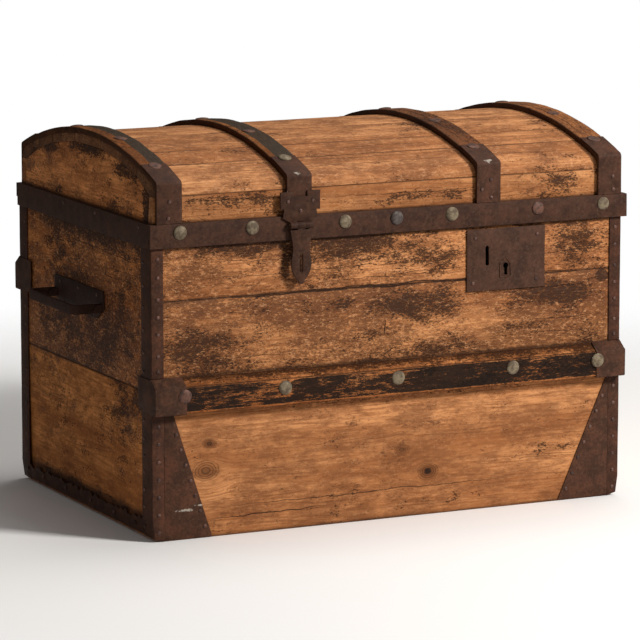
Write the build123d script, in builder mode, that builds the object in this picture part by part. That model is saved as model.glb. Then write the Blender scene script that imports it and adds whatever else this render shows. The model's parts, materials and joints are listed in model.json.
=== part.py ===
"""Dome-top wooden travel chest with iron fittings. Millimetres, +Z up.

The origin is on the floor under the centre of the body. The front faces -Y and the left end faces -X.
"""
from math import asin, cos, hypot, sin
import os

from build123d import *

# Body boards
body_length = 776
body_depth = 511
body_height = 446.5
board_thickness = 18
floor_thickness = 16
floor_clearance = 8
front_joints = (0, 214, 355, body_height)
back_joints = (0, 150, 323, body_height)
end_joints = (0, 220, body_height)

# Body irons
sheet = 2
angle_height = 445
angle_front_leg = 19
angle_side_leg = {"front": 38, "back": 31}
foot_height = 188
foot_bottom_width = {"left": 95, "right": 105}
foot_top_width = {"left": 34, "right": 22}
strap_height = 29

# Battens across the front and the back
batten_thickness = 17
batten_low = {"front": 191, "back": 302}
batten_face_height = 38
batten_height = 50
batten_edge = 1.5
cap_sheet = 1.5
cap_length = 50
tab_length = 46

# Lid, which sits a little to the right on its old hinges
lid_shift = 2
lid_gap = 1
lid_low = body_height + lid_gap
lid_half_length = 389.5
lid_lean = 0.06
lid_half_depth = 256.5
lid_board_joint = 509
dome_crown = 571
dome_radius = 700
shoulder_radius = 18
stave_thickness = 13
stave_edges = (190, 137, 50)
stave_foot_z = lid_board_joint

# Band round the lid, with a lip that hangs over the body
band_low = 434
band_top = 469
band_thickness = 6
lip_thickness = 3
band_gap = 0.3

# Bent slats over the dome
slat_width = 40
slat_offsets = (-365, -157, 157, 365)
slat_dome_thickness = 8.5
slat_wall_thickness = 5
slat_foot_gap = 0.5
slat_cap_end = 205
slat_fold_radius = 5

# Hinges at the back
hinge_offsets = (-250, 250)
hinge_axis = (262, body_height + 0.5)
knuckle_radius = 5
pin_radius = 3
knuckle_gap = 0.5
leaf_thickness = 3
running_clearance = 0.08
lower_knuckle = 18
upper_knuckle = 24
hinge_width = 2 * lower_knuckle + upper_knuckle
leaf_height = 52

# Hasp on the second slat
hasp_x = slat_offsets[1] + lid_shift
hasp_pin_z = 456
hasp_knuckle_radius = 5
hasp_pin_radius = 2.2
hasp_sheet = 3

# Lock
lock_centre = (191.8, 381.8)
lock_plate_size = (133, 93.6)
lock_plate_sheet = 2.5
staple_slot = (159.7, 388, 5.6, 30)
keyhole = (191.3, 371.6)
keyhole_radius = 4.3
lock_case_size = (106, 72)
lock_case_depth = 24
bolt_size = (46, 6, 10)
bolt_tip_x = 168

# End handles
handle_centre_y = 17
handle_z = 320
handle_half_span = 88
handle_depth = 37
bail_thickness = 5
bail_height = 14
handle_plate_sheet = 2.5
handle_pivot_gap = 8
handle_pin_radius = 3
lug_thickness = 4
lug_clearance = 0.5

# Nails
large_nail_radius = 10
large_nail_height = 5
small_nail_radius = 2.8
small_nail_height = 1.6
batten_nails = (-345, -183, 3, 197, 343)
batten_nail_rise = 26
band_nails = (-346, -231, -80, 5, 97, 243, 356)
band_nail_z = 456
slat_nails = (-212, -85, 85, 212)
slat_cap_nails = (478, 502)
hasp_plate_nails = ((-20, 491), (20, 491), (0, 477))
end_band_nails = (-221, -58, 65, 212)
end_band_nail_z = 462
hinge_leaf_nails = ((-22, 14), (22, 14), (-22, 40), (22, 40))
lock_plate_nails = ((139, 415.5), (244.7, 415.8), (135.3, 347.6), (243, 348.3))
handle_plate_nails = ((-60, -12), (-72, 18), (0, 19), (72, 18), (60, -12))

front_y = -body_depth / 2
back_y = body_depth / 2
right_x = body_length / 2
inner_x = right_x - board_thickness
inner_y = back_y - board_thickness
dome_centre_z = dome_crown - dome_radius
slat_front_y = lid_half_depth + slat_wall_thickness
cap_front_y = slat_front_y + cap_sheet
side_sign = {"left": -1, "right": 1}
depth_sign = {"front": -1, "back": 1}


def save(builder, name):
    """Label a finished piece and write it as its own file."""
    builder.part.label = name
    export_step(builder.part, f"parts/{name}.step")


def span(low, high):
    """Middle and length of a stretch between two values."""
    return (low + high) / 2, high - low


def at(x, y, z, outward):
    """A plane for a nail head, standing on a surface with the given outward direction."""
    return Plane(origin=(x, y, z), z_dir=outward)


# ---------------------------------------------------------------- body boards

def make_wall_board(name, wall_y, low, high):
    """One long board of the front or back wall."""
    with BuildPart() as wall_board:
        with BuildSketch(Plane.XY.offset(low)):
            with Locations((0, wall_y)):
                Rectangle(body_length, board_thickness)
        extrude(amount=high - low)
        if name == "front_board_upper":
            with BuildSketch(Plane.XZ.offset(-front_y)):
                add(lock_holes())
            extrude(amount=-board_thickness, mode=Mode.SUBTRACT)
    save(wall_board, name)


def lock_holes():
    """Staple slot and keyhole, cut through the lock plate and the board behind it."""
    slot_x, slot_z, slot_width, slot_height = staple_slot
    with BuildSketch() as holes:
        with Locations((slot_x, slot_z)):
            SlotOverall(slot_height, slot_width, rotation=90)
        with Locations(keyhole):
            Circle(keyhole_radius)
        with Locations((keyhole[0], keyhole[1] - 7.5)):
            Rectangle(keyhole_radius + 0.7, 14)
    return holes.sketch


def make_end_board(name, side, low, high):
    """One board of an end wall, between the front and back walls."""
    with BuildPart() as end_board:
        with BuildSketch(Plane.XY.offset(low)):
            with Locations((side * (inner_x + board_thickness / 2), 0)):
                Rectangle(board_thickness, 2 * inner_y)
        extrude(amount=high - low)
    save(end_board, name)


def make_floor_board(name, side):
    """Half of the floor, resting between the four walls."""
    with BuildPart() as floor_board:
        with BuildSketch(Plane.XY.offset(floor_clearance)):
            with Locations((0, side * inner_y / 2)):
                Rectangle(2 * inner_x, inner_y)
        extrude(amount=floor_thickness)
    save(floor_board, name)


# ---------------------------------------------------------------- battens and their caps

def batten_outline(where, cover):
    """Section of a batten in (depth, height), grown by the thickness of a cover."""
    side = depth_sign[where]
    wall = side * back_y
    face = wall + side * (batten_thickness + cover)
    low = batten_low[where]
    slope = (batten_height - batten_face_height) / batten_thickness
    rise = cover * (hypot(1, slope))
    return [
        (wall, low - cover),
        (face - side * batten_edge, low - cover),
        (face, low - cover + batten_edge),
        (face, low + batten_face_height + rise - slope * cover),
        (wall, low + batten_height + rise),
    ]


def draw_outline(points, mode=Mode.ADD):
    """A closed polygon through the points."""
    Polygon(*points, align=None, mode=mode)


def make_batten(where):
    """A long bevelled batten that stiffens a wall."""
    half_length = right_x + sheet
    with BuildPart() as batten:
        with BuildSketch(Plane.YZ.offset(-half_length)):
            draw_outline(batten_outline(where, 0))
        extrude(amount=2 * half_length)
    save(batten, f"{where}_batten")


def make_batten_caps():
    """Sheet iron folded round both ends of both battens, with a tab on the end wall."""
    end_x = right_x + sheet
    with BuildPart() as caps:
        for where, depth in depth_sign.items():
            for side in side_sign.values():
                outer_x = side * (end_x + cap_sheet)
                with BuildSketch(Plane.YZ.offset(outer_x)):
                    draw_outline(batten_outline(where, cap_sheet))
                extrude(amount=-side * cap_length)
                with BuildSketch(Plane.YZ.offset(side * end_x)):
                    draw_outline(batten_outline(where, 0))
                extrude(amount=-side * cap_length, mode=Mode.SUBTRACT)
                low = batten_low[where]
                wall = depth * back_y
                with BuildSketch(Plane.YZ.offset(side * end_x)):
                    draw_outline([
                        (wall, low),
                        (wall, low + batten_height),
                        (wall - depth * tab_length, low + batten_height),
                        (wall - depth * tab_length, low + 8),
                        (wall - depth * (tab_length - 8), low),
                    ])
                extrude(amount=side * cap_sheet)
    save(caps, "batten_caps")


# ---------------------------------------------------------------- corner irons

def make_corner_angle(where, hand):
    """Angle iron up one corner, its front leg notched round the batten."""
    depth = depth_sign[where]
    side = side_sign[hand]
    outer_x = side * (right_x + sheet)
    outer_y = depth * (back_y + sheet)
    side_leg = angle_side_leg[where]
    with BuildPart() as angle:
        with BuildSketch(Plane.XY.offset(1)):
            draw_outline([
                (outer_x, outer_y),
                (outer_x - side * angle_front_leg, outer_y),
                (outer_x - side * angle_front_leg, outer_y - depth * sheet),
                (outer_x - side * sheet, outer_y - depth * sheet),
                (outer_x - side * sheet, outer_y - depth * side_leg),
                (outer_x, outer_y - depth * side_leg),
            ])
        extrude(amount=angle_height - 1)
        notch_z, notch_height = span(batten_low[where] - cap_sheet, batten_low[where] + batten_height + sheet)
        with Locations((outer_x, depth * (back_y + sheet / 2), notch_z)):
            Box(2 * angle_front_leg, sheet, notch_height, mode=Mode.SUBTRACT)
    save(angle, f"corner_angle_{where}_{hand}")


def make_corner_feet():
    """Tapered plates beside the corner angles, front and back, down to the floor."""
    with BuildPart() as feet:
        for where, depth in depth_sign.items():
            for hand, side in side_sign.items():
                edge_x = side * (right_x + sheet - angle_front_leg)
                outer_x = side * (right_x + sheet)
                with BuildSketch(Plane.XZ.offset(-depth * back_y)):
                    draw_outline([
                        (edge_x, sheet),
                        (outer_x - side * foot_bottom_width[hand], sheet),
                        (outer_x - side * foot_top_width[hand], foot_height),
                        (edge_x, foot_height),
                    ])
                extrude(amount=-depth * sheet)
    save(feet, "corner_feet")


def make_base_strap(hand):
    """Strap along the bottom of an end wall, between the two corner angles."""
    side = side_sign[hand]
    front_end = front_y - sheet + angle_side_leg["front"]
    back_end = back_y + sheet - angle_side_leg["back"]
    middle_y, length = span(front_end, back_end)
    with BuildPart() as strap:
        with BuildSketch(Plane.YZ.offset(side * right_x)):
            with Locations((middle_y, sheet + strap_height / 2)):
                Rectangle(length, strap_height)
        extrude(amount=side * cap_sheet)
    save(strap, f"base_strap_{hand}")


# ---------------------------------------------------------------- lock

def make_lock_plate():
    """Square lock plate on the front, with its slot and keyhole."""
    with BuildPart() as plate:
        with BuildSketch(Plane.XZ.offset(-front_y)):
            with Locations(lock_centre):
                Rectangle(*lock_plate_size)
            add(lock_holes(), mode=Mode.SUBTRACT)
        extrude(amount=lock_plate_sheet)
    save(plate, "lock_plate")


def make_lock_case():
    """Open-fronted box screwed behind the front board, with two guides for the bolt."""
    case_front = -inner_y
    bolt_z = staple_slot[1]
    with BuildPart() as case:
        with BuildSketch(Plane.XZ.offset(-case_front)):
            with Locations(lock_centre):
                Rectangle(*lock_case_size)
        extrude(amount=-lock_case_depth)
        with BuildSketch(Plane.XZ.offset(-case_front)):
            with Locations(lock_centre):
                Rectangle(lock_case_size[0] - 2 * sheet, lock_case_size[1] - 2 * sheet)
        extrude(amount=-(lock_case_depth - sheet), mode=Mode.SUBTRACT)
        guide_y, guide_depth = span(case_front + 1, case_front + lock_case_depth - sheet)
        for guide_x in (bolt_tip_x + 8, bolt_tip_x + 36):
            with Locations((guide_x, guide_y, bolt_z)):
                Box(5, guide_depth, bolt_size[2] + 8)
        with Locations((bolt_tip_x + 22, bolt_centre_y(), bolt_z)):
            Box(50, bolt_size[1] + 0.6, bolt_size[2] + 0.6, mode=Mode.SUBTRACT)
    save(case, "lock_case")


def bolt_centre_y():
    """Depth at which the bolt crosses behind the staple slot."""
    return -inner_y + 10


def make_lock_bolt():
    """Bar that slides across behind the staple slot."""
    with BuildPart() as bolt:
        with Locations((bolt_tip_x + bolt_size[0] / 2, bolt_centre_y(), staple_slot[1])):
            Box(*bolt_size)
        chamfer(bolt.faces().sort_by(Axis.X)[0].edges().filter_by(Axis.Z), 1.5)
    save(bolt, "lock_bolt")


# ---------------------------------------------------------------- end handles

def make_handle_plate(hand):
    """Plate on an end wall with two pairs of lugs, each pair holding a pivot pin."""
    side = side_sign[hand]
    plate_x = side * right_x
    pivot_x = side * (right_x + handle_plate_sheet + handle_pivot_gap)
    middle = handle_centre_y
    with BuildPart() as plate:
        with BuildSketch(Plane.YZ.offset(plate_x)):
            draw_outline([
                (middle - 70, handle_z - 18),
                (middle + 70, handle_z - 18),
                (middle + 98, handle_z),
                (middle + 94, handle_z + 26),
                (middle - 94, handle_z + 26),
                (middle - 98, handle_z),
            ])
        extrude(amount=side * handle_plate_sheet)
        lug_reach = bail_thickness / 2 + lug_clearance + lug_thickness / 2
        for end in (-1, 1):
            for lug in (-1, 1):
                lug_y = middle + end * handle_half_span + lug * lug_reach
                with BuildSketch(Plane.XZ.offset(-lug_y)):
                    with Locations((pivot_x, handle_z)):
                        Circle(6)
                    with Locations((pivot_x - side * handle_pivot_gap / 2, handle_z)):
                        Rectangle(handle_pivot_gap, 12)
                extrude(amount=lug_thickness / 2, both=True)
            with BuildSketch(Plane.XZ.offset(-(middle + end * handle_half_span))):
                with Locations((pivot_x, handle_z)):
                    Circle(handle_pin_radius)
            extrude(amount=lug_reach, both=True)
    save(plate, f"handle_plate_{hand}")


def make_handle_bail(hand):
    """Square-cornered strap bail, held out from the plate, with an eye on each pivot pin."""
    side = side_sign[hand]
    pivot_x = side * (right_x + handle_plate_sheet + handle_pivot_gap)
    grip_x = pivot_x + side * handle_depth
    half_width = handle_half_span + bail_thickness / 2
    bail_reach = abs(grip_x - pivot_x)
    with BuildPart() as bail:
        with BuildSketch(Plane.XY.offset(handle_z - bail_height / 2)):
            with Locations((pivot_x, handle_centre_y)):
                RectangleRounded(2 * (abs(bail_reach) + bail_thickness / 2), 2 * half_width, 14)
                RectangleRounded(
                    2 * (abs(bail_reach) - bail_thickness / 2),
                    2 * (half_width - bail_thickness),
                    9,
                    mode=Mode.SUBTRACT,
                )
            with Locations((pivot_x - side * 50, handle_centre_y)):
                Rectangle(100, 4 * half_width, mode=Mode.SUBTRACT)
        extrude(amount=bail_height)
        for end in (-1, 1):
            with BuildSketch(Plane.XZ.offset(-(handle_centre_y + end * handle_half_span))):
                with Locations((pivot_x, handle_z)):
                    Circle(bail_height / 2)
            extrude(amount=bail_thickness / 2, both=True)
        with BuildSketch(Plane.XZ.offset(-handle_centre_y)):
            with Locations((pivot_x, handle_z)):
                Circle(handle_pin_radius + running_clearance)
        extrude(amount=half_width + 1, both=True, mode=Mode.SUBTRACT)
    save(bail, f"handle_bail_{hand}")


# ---------------------------------------------------------------- hinges

def draw_on_axis(axis, radius, mode=Mode.ADD):
    """A circle round a pin's axis."""
    with Locations(axis):
        Circle(radius, mode=mode)


def make_lower_leaves():
    """Leaves on the body, with two knuckles each and a gap for the turning knuckle."""
    axis_z = hinge_axis[1]
    half = hinge_width / 2
    with BuildPart() as leaves:
        for hinge_x in hinge_offsets:
            leaf_middle_z, height = span(axis_z - leaf_height, axis_z - 1)
            with Locations((hinge_x, back_y + leaf_thickness / 2, leaf_middle_z)):
                Box(hinge_width, leaf_thickness, height)
            with BuildSketch(Plane.YZ.offset(hinge_x)):
                draw_on_axis(hinge_axis, knuckle_radius + knuckle_gap)
            extrude(amount=upper_knuckle / 2, both=True, mode=Mode.SUBTRACT)
            for start in (-half, half - lower_knuckle):
                with BuildSketch(Plane.YZ.offset(hinge_x + start)):
                    draw_on_axis(hinge_axis, knuckle_radius)
                extrude(amount=lower_knuckle)
            with BuildSketch(Plane.YZ.offset(hinge_x)):
                draw_on_axis(hinge_axis, pin_radius + running_clearance)
            extrude(amount=half, both=True, mode=Mode.SUBTRACT)
    save(leaves, "hinge_lower_leaves")


def make_upper_leaves():
    """Leaves on the lid, each with one knuckle that turns on the pin."""
    axis_z = hinge_axis[1]
    leaf_middle_y = lid_half_depth + band_thickness / 2 + leaf_thickness / 2
    leaf_low = axis_z + knuckle_radius + knuckle_gap
    with BuildPart() as leaves:
        for hinge_x in hinge_offsets:
            leaf_z, height = span(leaf_low, axis_z + leaf_height)
            with Locations((hinge_x, leaf_middle_y, leaf_z)):
                Box(hinge_width, leaf_thickness, height)
            with BuildSketch(Plane.YZ.offset(hinge_x)):
                draw_on_axis(hinge_axis, knuckle_radius)
                neck_z, neck_height = span(axis_z, leaf_low)
                with Locations((leaf_middle_y, neck_z)):
                    Rectangle(leaf_thickness, neck_height)
                draw_on_axis(hinge_axis, pin_radius + running_clearance, Mode.SUBTRACT)
            extrude(amount=upper_knuckle / 2 - band_gap, both=True)
    save(leaves, "hinge_upper_leaves")


def make_hinge_pins():
    """Headed pins through the knuckles of both hinges."""
    half = hinge_width / 2
    with BuildPart() as pins:
        for hinge_x in hinge_offsets:
            with BuildSketch(Plane.YZ.offset(hinge_x)):
                draw_on_axis(hinge_axis, pin_radius)
            extrude(amount=half, both=True)
            for head_start in (-half - sheet, half):
                with BuildSketch(Plane.YZ.offset(hinge_x + head_start)):
                    draw_on_axis(hinge_axis, pin_radius + 1)
                extrude(amount=sheet)
    save(pins, "hinge_pins")


# ---------------------------------------------------------------- hasp

def make_hasp_plate():
    """Notched hinge plate on the slat's cap, with the two outer knuckles of the hasp."""
    half = 32
    outline = [
        (-half, 505), (-11.5, 505), (-11.5, 498), (11.5, 498), (11.5, 506), (half, 506), (half, 478),
        (26, 478), (28, 467), (17.8, 461), (17.8, hasp_pin_z),
        (-17.8, hasp_pin_z), (-17.8, 461), (-28, 467), (-26, 480), (-half, 480),
    ]
    with BuildPart() as plate:
        with BuildSketch(Plane.XZ.offset(cap_front_y)):
            draw_outline([(hasp_x + x, z) for x, z in outline])
        extrude(amount=hasp_sheet)
        for start in (-18, 6.3):
            with BuildSketch(Plane.YZ.offset(hasp_x + start)):
                with Locations((hasp_axis_y(), hasp_pin_z)):
                    Circle(hasp_knuckle_radius)
            extrude(amount=11.7)
        with Locations((hasp_x, hasp_axis_y(), hasp_pin_z)):
            Box(12.6, 2 * hasp_knuckle_radius + 1, 2 * hasp_knuckle_radius + 1, mode=Mode.SUBTRACT)
        with BuildSketch(Plane.YZ.offset(hasp_x)):
            with Locations((hasp_axis_y(), hasp_pin_z)):
                Circle(hasp_pin_radius + running_clearance)
        extrude(amount=40, both=True, mode=Mode.SUBTRACT)
    save(plate, "hasp_plate")


def hasp_axis_y():
    """Depth of the hasp's pin, in front of the cap."""
    return -(cap_front_y + hasp_knuckle_radius)


def make_hasp_pin():
    """Pin through the hasp's knuckles, with a small head on each end."""
    with BuildPart() as pin:
        with BuildSketch(Plane.YZ.offset(hasp_x)):
            with Locations((hasp_axis_y(), hasp_pin_z)):
                Circle(hasp_pin_radius)
        extrude(amount=18, both=True)
        for start in (-19.5, 18):
            with BuildSketch(Plane.YZ.offset(hasp_x + start)):
                with Locations((hasp_axis_y(), hasp_pin_z)):
                    Circle(hasp_pin_radius + 1)
            extrude(amount=1.5)
    save(pin, "hasp_pin")


def make_hasp_tongue():
    """Waisted tongue with a slot, hanging from the middle knuckle."""
    half_outline = [(17.5, 449), (15.5, 436), (13.3, 424), (16.2, 400), (13.5, 386), (5, 374)]
    right_edge = [(hasp_x + x, z) for x, z in half_outline]
    left_edge = [(hasp_x - x, z) for x, z in reversed(half_outline)]
    with BuildPart() as tongue:
        with BuildSketch(Plane.XZ.offset(-hasp_axis_y() - hasp_sheet / 2)):
            with BuildLine():
                Spline(*right_edge)
                ThreePointArc(right_edge[-1], (hasp_x, 368.5), left_edge[0])
                Spline(*left_edge)
                Line(left_edge[-1], right_edge[0])
            make_face()
            with Locations((hasp_x, 400)):
                SlotOverall(28, 5.4, rotation=90, mode=Mode.SUBTRACT)
        extrude(amount=hasp_sheet)
        with BuildSketch(Plane.YZ.offset(hasp_x)):
            with Locations((hasp_axis_y(), hasp_pin_z)):
                Circle(hasp_knuckle_radius)
            neck_z, neck_height = span(448, hasp_pin_z)
            with Locations((hasp_axis_y(), neck_z)):
                Rectangle(hasp_sheet, neck_height)
            with Locations((hasp_axis_y(), hasp_pin_z)):
                Circle(hasp_pin_radius + running_clearance, mode=Mode.SUBTRACT)
        extrude(amount=6, both=True)
    save(tongue, "hasp_tongue")


# ---------------------------------------------------------------- lid boards

def dome_point(depth, radius):
    """Point of an arc over the lid, on the ray that crosses the dome's surface at a depth."""
    angle = asin(depth / dome_radius)
    return (radius * sin(angle), dome_centre_z + radius * cos(angle))


def lid_envelope():
    """Everything between the two leaning ends of the lid."""
    low, high = lid_low - 20, dome_crown + 20
    with BuildPart() as envelope:
        with BuildSketch(Plane.XZ.offset(-400)):
            draw_outline([
                (lid_shift - lid_half_at(low), low),
                (lid_shift + lid_half_at(low), low),
                (lid_shift + lid_half_at(high), high),
                (lid_shift - lid_half_at(high), high),
            ])
        extrude(amount=800)
    return envelope.part


def lid_half_at(z):
    """Half the lid's length at a height."""
    return lid_half_length - lid_lean * (z - lid_low)


def make_lid_wall_board(where, envelope):
    """Upright board along the front or back of the lid."""
    depth = depth_sign[where]
    middle_y = depth * (lid_half_depth - board_thickness / 2)
    with BuildPart() as wall_board:
        with BuildSketch(Plane.XY.offset(lid_low)):
            with Locations((0, middle_y)):
                Rectangle(2 * body_length, board_thickness)
        extrude(amount=lid_board_joint - lid_low)
        add(envelope, mode=Mode.INTERSECT)
    save(wall_board, f"lid_{where}_board")


def stave_joints():
    """Depths of the joints between the staves, from the front to the back."""
    return [-edge for edge in stave_edges] + list(reversed(stave_edges))


def make_middle_stave(number, start, end, envelope):
    """A stave between two joints: rounded on top, flat underneath."""
    inner = dome_radius - stave_thickness
    with BuildPart() as stave:
        with BuildSketch(Plane.YZ.offset(-body_length)):
            with BuildLine():
                ThreePointArc(
                    dome_point(start, dome_radius),
                    dome_point((start + end) / 2, dome_radius),
                    dome_point(end, dome_radius),
                )
                Polyline(
                    dome_point(end, dome_radius), dome_point(end, inner),
                    dome_point(start, inner), dome_point(start, dome_radius),
                )
            make_face()
        extrude(amount=2 * body_length)
        add(envelope, mode=Mode.INTERSECT)
    save(stave, f"lid_stave_{number}")


def make_shoulder_stave(number, where, envelope):
    """The stave that rounds the lid's front or back shoulder."""
    depth = depth_sign[where]
    edge = depth * stave_edges[0]
    inner = dome_radius - stave_thickness
    with BuildPart() as stave:
        with BuildSketch(Plane.YZ.offset(-body_length)):
            add(lid_outline(lid_half_depth, dome_radius, shoulder_radius))
            with BuildLine():
                Polyline(
                    dome_point(edge, dome_radius + 40),
                    dome_point(edge, inner),
                    (depth * (lid_half_depth - board_thickness), stave_foot_z),
                    (depth * (lid_half_depth + 20), stave_foot_z),
                    (depth * (lid_half_depth + 20), dome_crown + 40),
                    close=True,
                )
            make_face(mode=Mode.INTERSECT)
        extrude(amount=2 * body_length)
        add(envelope, mode=Mode.INTERSECT)
    save(stave, f"lid_stave_{number}")


def lid_outline(half_depth, radius, corner):
    """Section of the lid in (depth, height): upright walls, round shoulders and a shallow dome."""
    low = lid_low - 40
    with BuildSketch() as outline:
        with Locations((0, dome_centre_z)):
            Circle(radius)
        middle, height = span(low, dome_crown + 40)
        with Locations((0, middle)):
            Rectangle(2 * half_depth, height, mode=Mode.INTERSECT)
        fillet(outline.vertices().group_by(Axis.Y)[-1], corner)
    return outline.sketch


def make_lid_end_board(hand):
    """Arched end board between the lid's front and back boards, leaning in a little."""
    side = side_sign[hand]
    inner = dome_radius - stave_thickness
    half = lid_half_depth - board_thickness
    joints = [dome_point(joint, inner) for joint in stave_joints()]
    low, high = lid_low, dome_crown
    with BuildPart() as end_board:
        with BuildSketch(Plane.YZ.offset(-body_length)):
            left_side = [(-half, lid_low), (-half, stave_foot_z)]
            right_side = [(half, stave_foot_z), (half, lid_low)]
            draw_outline([*left_side, *joints, *right_side])
        extrude(amount=2 * body_length)
        with BuildSketch(Plane.XZ.offset(-400)) as lean:
            draw_outline([
                (lid_shift + side * lid_half_at(low), low),
                (lid_shift + side * lid_half_at(high), high),
                (lid_shift + side * (lid_half_at(high) - board_thickness), high),
                (lid_shift + side * (lid_half_at(low) - board_thickness), low),
            ])
        extrude(lean.sketch, amount=800, mode=Mode.INTERSECT)
    save(end_board, f"lid_end_board_{hand}")


# ---------------------------------------------------------------- lid band

def band_section(wall, outward, top_set_in):
    """Section of the band in (across, height): thick on the lid, thin where it hangs over the body."""
    face = wall + outward * band_thickness
    lip = face - outward * lip_thickness
    return [
        (wall, lid_low),
        (lip, lid_low),
        (lip, band_low),
        (face, band_low),
        (face, band_top),
        (wall + outward * top_set_in, band_top),
    ]


def make_front_band():
    """Strap across the lid's front, mitred into the end straps."""
    half = lid_half_length + band_thickness
    with BuildPart() as band:
        with BuildSketch(Plane.YZ.offset(lid_shift - half)):
            draw_outline(band_section(-lid_half_depth, -1, 0))
        extrude(amount=2 * half)
    save(band, "lid_band_front")


def make_back_band():
    """Strap across the lid's back, cut away over the hinges' knuckles."""
    half = lid_half_length + band_thickness
    with BuildPart() as band:
        with Locations((lid_shift, lid_half_depth + band_thickness / 4, (lid_low + band_top) / 2)):
            Box(2 * half, band_thickness / 2, band_top - lid_low)
        for hinge_x in hinge_offsets:
            with Locations((hinge_x, lid_half_depth, lid_low)):
                Box(hinge_width + 8, 4 * band_thickness, 2 * (knuckle_radius + 1), mode=Mode.SUBTRACT)
    save(band, "lid_band_back")


def make_end_band(hand):
    """Strap across an end of the lid, from the front strap to the back one."""
    side = side_sign[hand]
    wall_x = lid_shift + side * lid_half_length
    with BuildPart() as band:
        with BuildSketch(Plane.XZ.offset(-lid_half_depth)):
            draw_outline(band_section(wall_x, side, -lid_lean * (band_top - lid_low)))
        extrude(amount=2 * lid_half_depth)
    save(band, f"lid_band_{hand}")


# ---------------------------------------------------------------- bent slats

def draw_slat_section(inner, outer):
    """Bent strip between two lid outlines, above the band."""
    add(lid_outline(*outer))
    add(lid_outline(*inner), mode=Mode.SUBTRACT)
    cut_height = 200
    with Locations((0, band_top + slat_foot_gap - cut_height / 2)):
        Rectangle(4 * lid_half_depth, cut_height, mode=Mode.SUBTRACT)


lid_surface = (lid_half_depth, dome_radius, shoulder_radius)
slat_surface = (slat_front_y, dome_radius + slat_dome_thickness, slat_fold_radius)
cap_surface = (cap_front_y, dome_radius + slat_dome_thickness + cap_sheet, slat_fold_radius + cap_sheet)


def make_slat(number, offset):
    """Bent wooden slat over the dome from front to back."""
    with BuildPart() as slat:
        with BuildSketch(Plane.YZ.offset(lid_shift + offset - slat_width / 2)):
            draw_slat_section(lid_surface, slat_surface)
        extrude(amount=slat_width)
    save(slat, f"lid_slat_{number}")


def make_slat_caps():
    """Sheet iron over the front and back ends of every slat."""
    with BuildPart() as caps:
        for offset in slat_offsets:
            with BuildSketch(Plane.YZ.offset(lid_shift + offset - slat_width / 2)):
                draw_slat_section(slat_surface, cap_surface)
                with Locations((0, dome_crown)):
                    Rectangle(2 * slat_cap_end, 200, mode=Mode.SUBTRACT)
            extrude(amount=slat_width)
    save(caps, "slat_caps")


# ---------------------------------------------------------------- nails

def nail_head(radius, height):
    """A domed nail head standing on the XY plane."""
    rim = height / 5
    rise = height - rim
    sphere_radius = (radius**2 + rise**2) / (2 * rise)
    middle_angle = asin(radius / sphere_radius) / 2
    middle = (sphere_radius * sin(middle_angle), height - sphere_radius * (1 - cos(middle_angle)))
    with BuildPart() as head:
        with BuildSketch(Plane.XZ):
            with BuildLine():
                Polyline((0, height), (0, 0), (radius, 0), (radius, rim))
                ThreePointArc((radius, rim), middle, (0, height))
            make_face()
        revolve(axis=Axis.Z)
    return head.part


def save_nails(name, head, places):
    """Write one head at each place as one group."""
    with BuildPart() as nails:
        for place in places:
            with Locations(place):
                add(head)
    save(nails, name)


def dome_place(x, depth, surface_radius):
    """A place for a nail on top of a slat."""
    angle = asin(depth / surface_radius)
    y = surface_radius * sin(angle)
    z = dome_centre_z + surface_radius * cos(angle)
    return at(x, y, z, (0, sin(angle), cos(angle)))


def large_nails_body_places():
    """Large nails through both battens, the outermost on the caps."""
    places = []
    for where, depth in depth_sign.items():
        face = depth * (back_y + batten_thickness)
        nail_z = batten_low[where] + batten_nail_rise
        for x in batten_nails:
            cover = cap_sheet if abs(x) > right_x - cap_length else 0
            places.append(at(x, face + depth * cover, nail_z, (0, depth, 0)))
    return places


def large_nails_lid_places():
    """Large nails along the band and on the slats."""
    places = []
    front_face = -(lid_half_depth + band_thickness)
    for x in band_nails:
        places.append(at(x, front_face, band_nail_z, (0, -1, 0)))
    for offset in slat_offsets:
        for depth in slat_nails:
            cover = cap_sheet if abs(depth) > slat_cap_end else 0
            surface = dome_radius + slat_dome_thickness + cover
            places.append(dome_place(lid_shift + offset, depth, surface))
    return places


def small_nails_body_places():
    """Small nails in the lock plate, the handle plates and the lower hinge leaves."""
    places = []
    for x, z in lock_plate_nails:
        places.append(at(x, front_y - lock_plate_sheet, z, (0, -1, 0)))
    for side in side_sign.values():
        plate_face = side * (right_x + handle_plate_sheet)
        for y, z in handle_plate_nails:
            places.append(at(plate_face, handle_centre_y + y, handle_z + z, (side, 0, 0)))
    for hinge_x in hinge_offsets:
        for x, drop in hinge_leaf_nails:
            places.append(at(hinge_x + x, back_y + leaf_thickness, hinge_axis[1] - drop, (0, 1, 0)))
    return places


def small_nails_lid_places():
    """Small nails in the slat caps, the hasp plate, the band's ends and the upper hinge leaves."""
    places = []
    for offset in slat_offsets:
        for side in depth_sign.values():
            under_hasp = offset == slat_offsets[1] and side < 0
            for z in () if under_hasp else slat_cap_nails:
                places.append(at(lid_shift + offset, side * cap_front_y, z, (0, side, 0)))
    for x, z in hasp_plate_nails:
        places.append(at(hasp_x + x, -(cap_front_y + hasp_sheet), z, (0, -1, 0)))
    for side in side_sign.values():
        end_x = lid_shift + side * (lid_half_length + band_thickness)
        for y in end_band_nails:
            places.append(at(end_x, y, end_band_nail_z, (side, 0, 0)))
    leaf_face = lid_half_depth + band_thickness / 2 + leaf_thickness
    for hinge_x in hinge_offsets:
        for x, rise in hinge_leaf_nails:
            places.append(at(hinge_x + x, leaf_face, hinge_axis[1] + rise, (0, 1, 0)))
    return places


# ---------------------------------------------------------------- build

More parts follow.
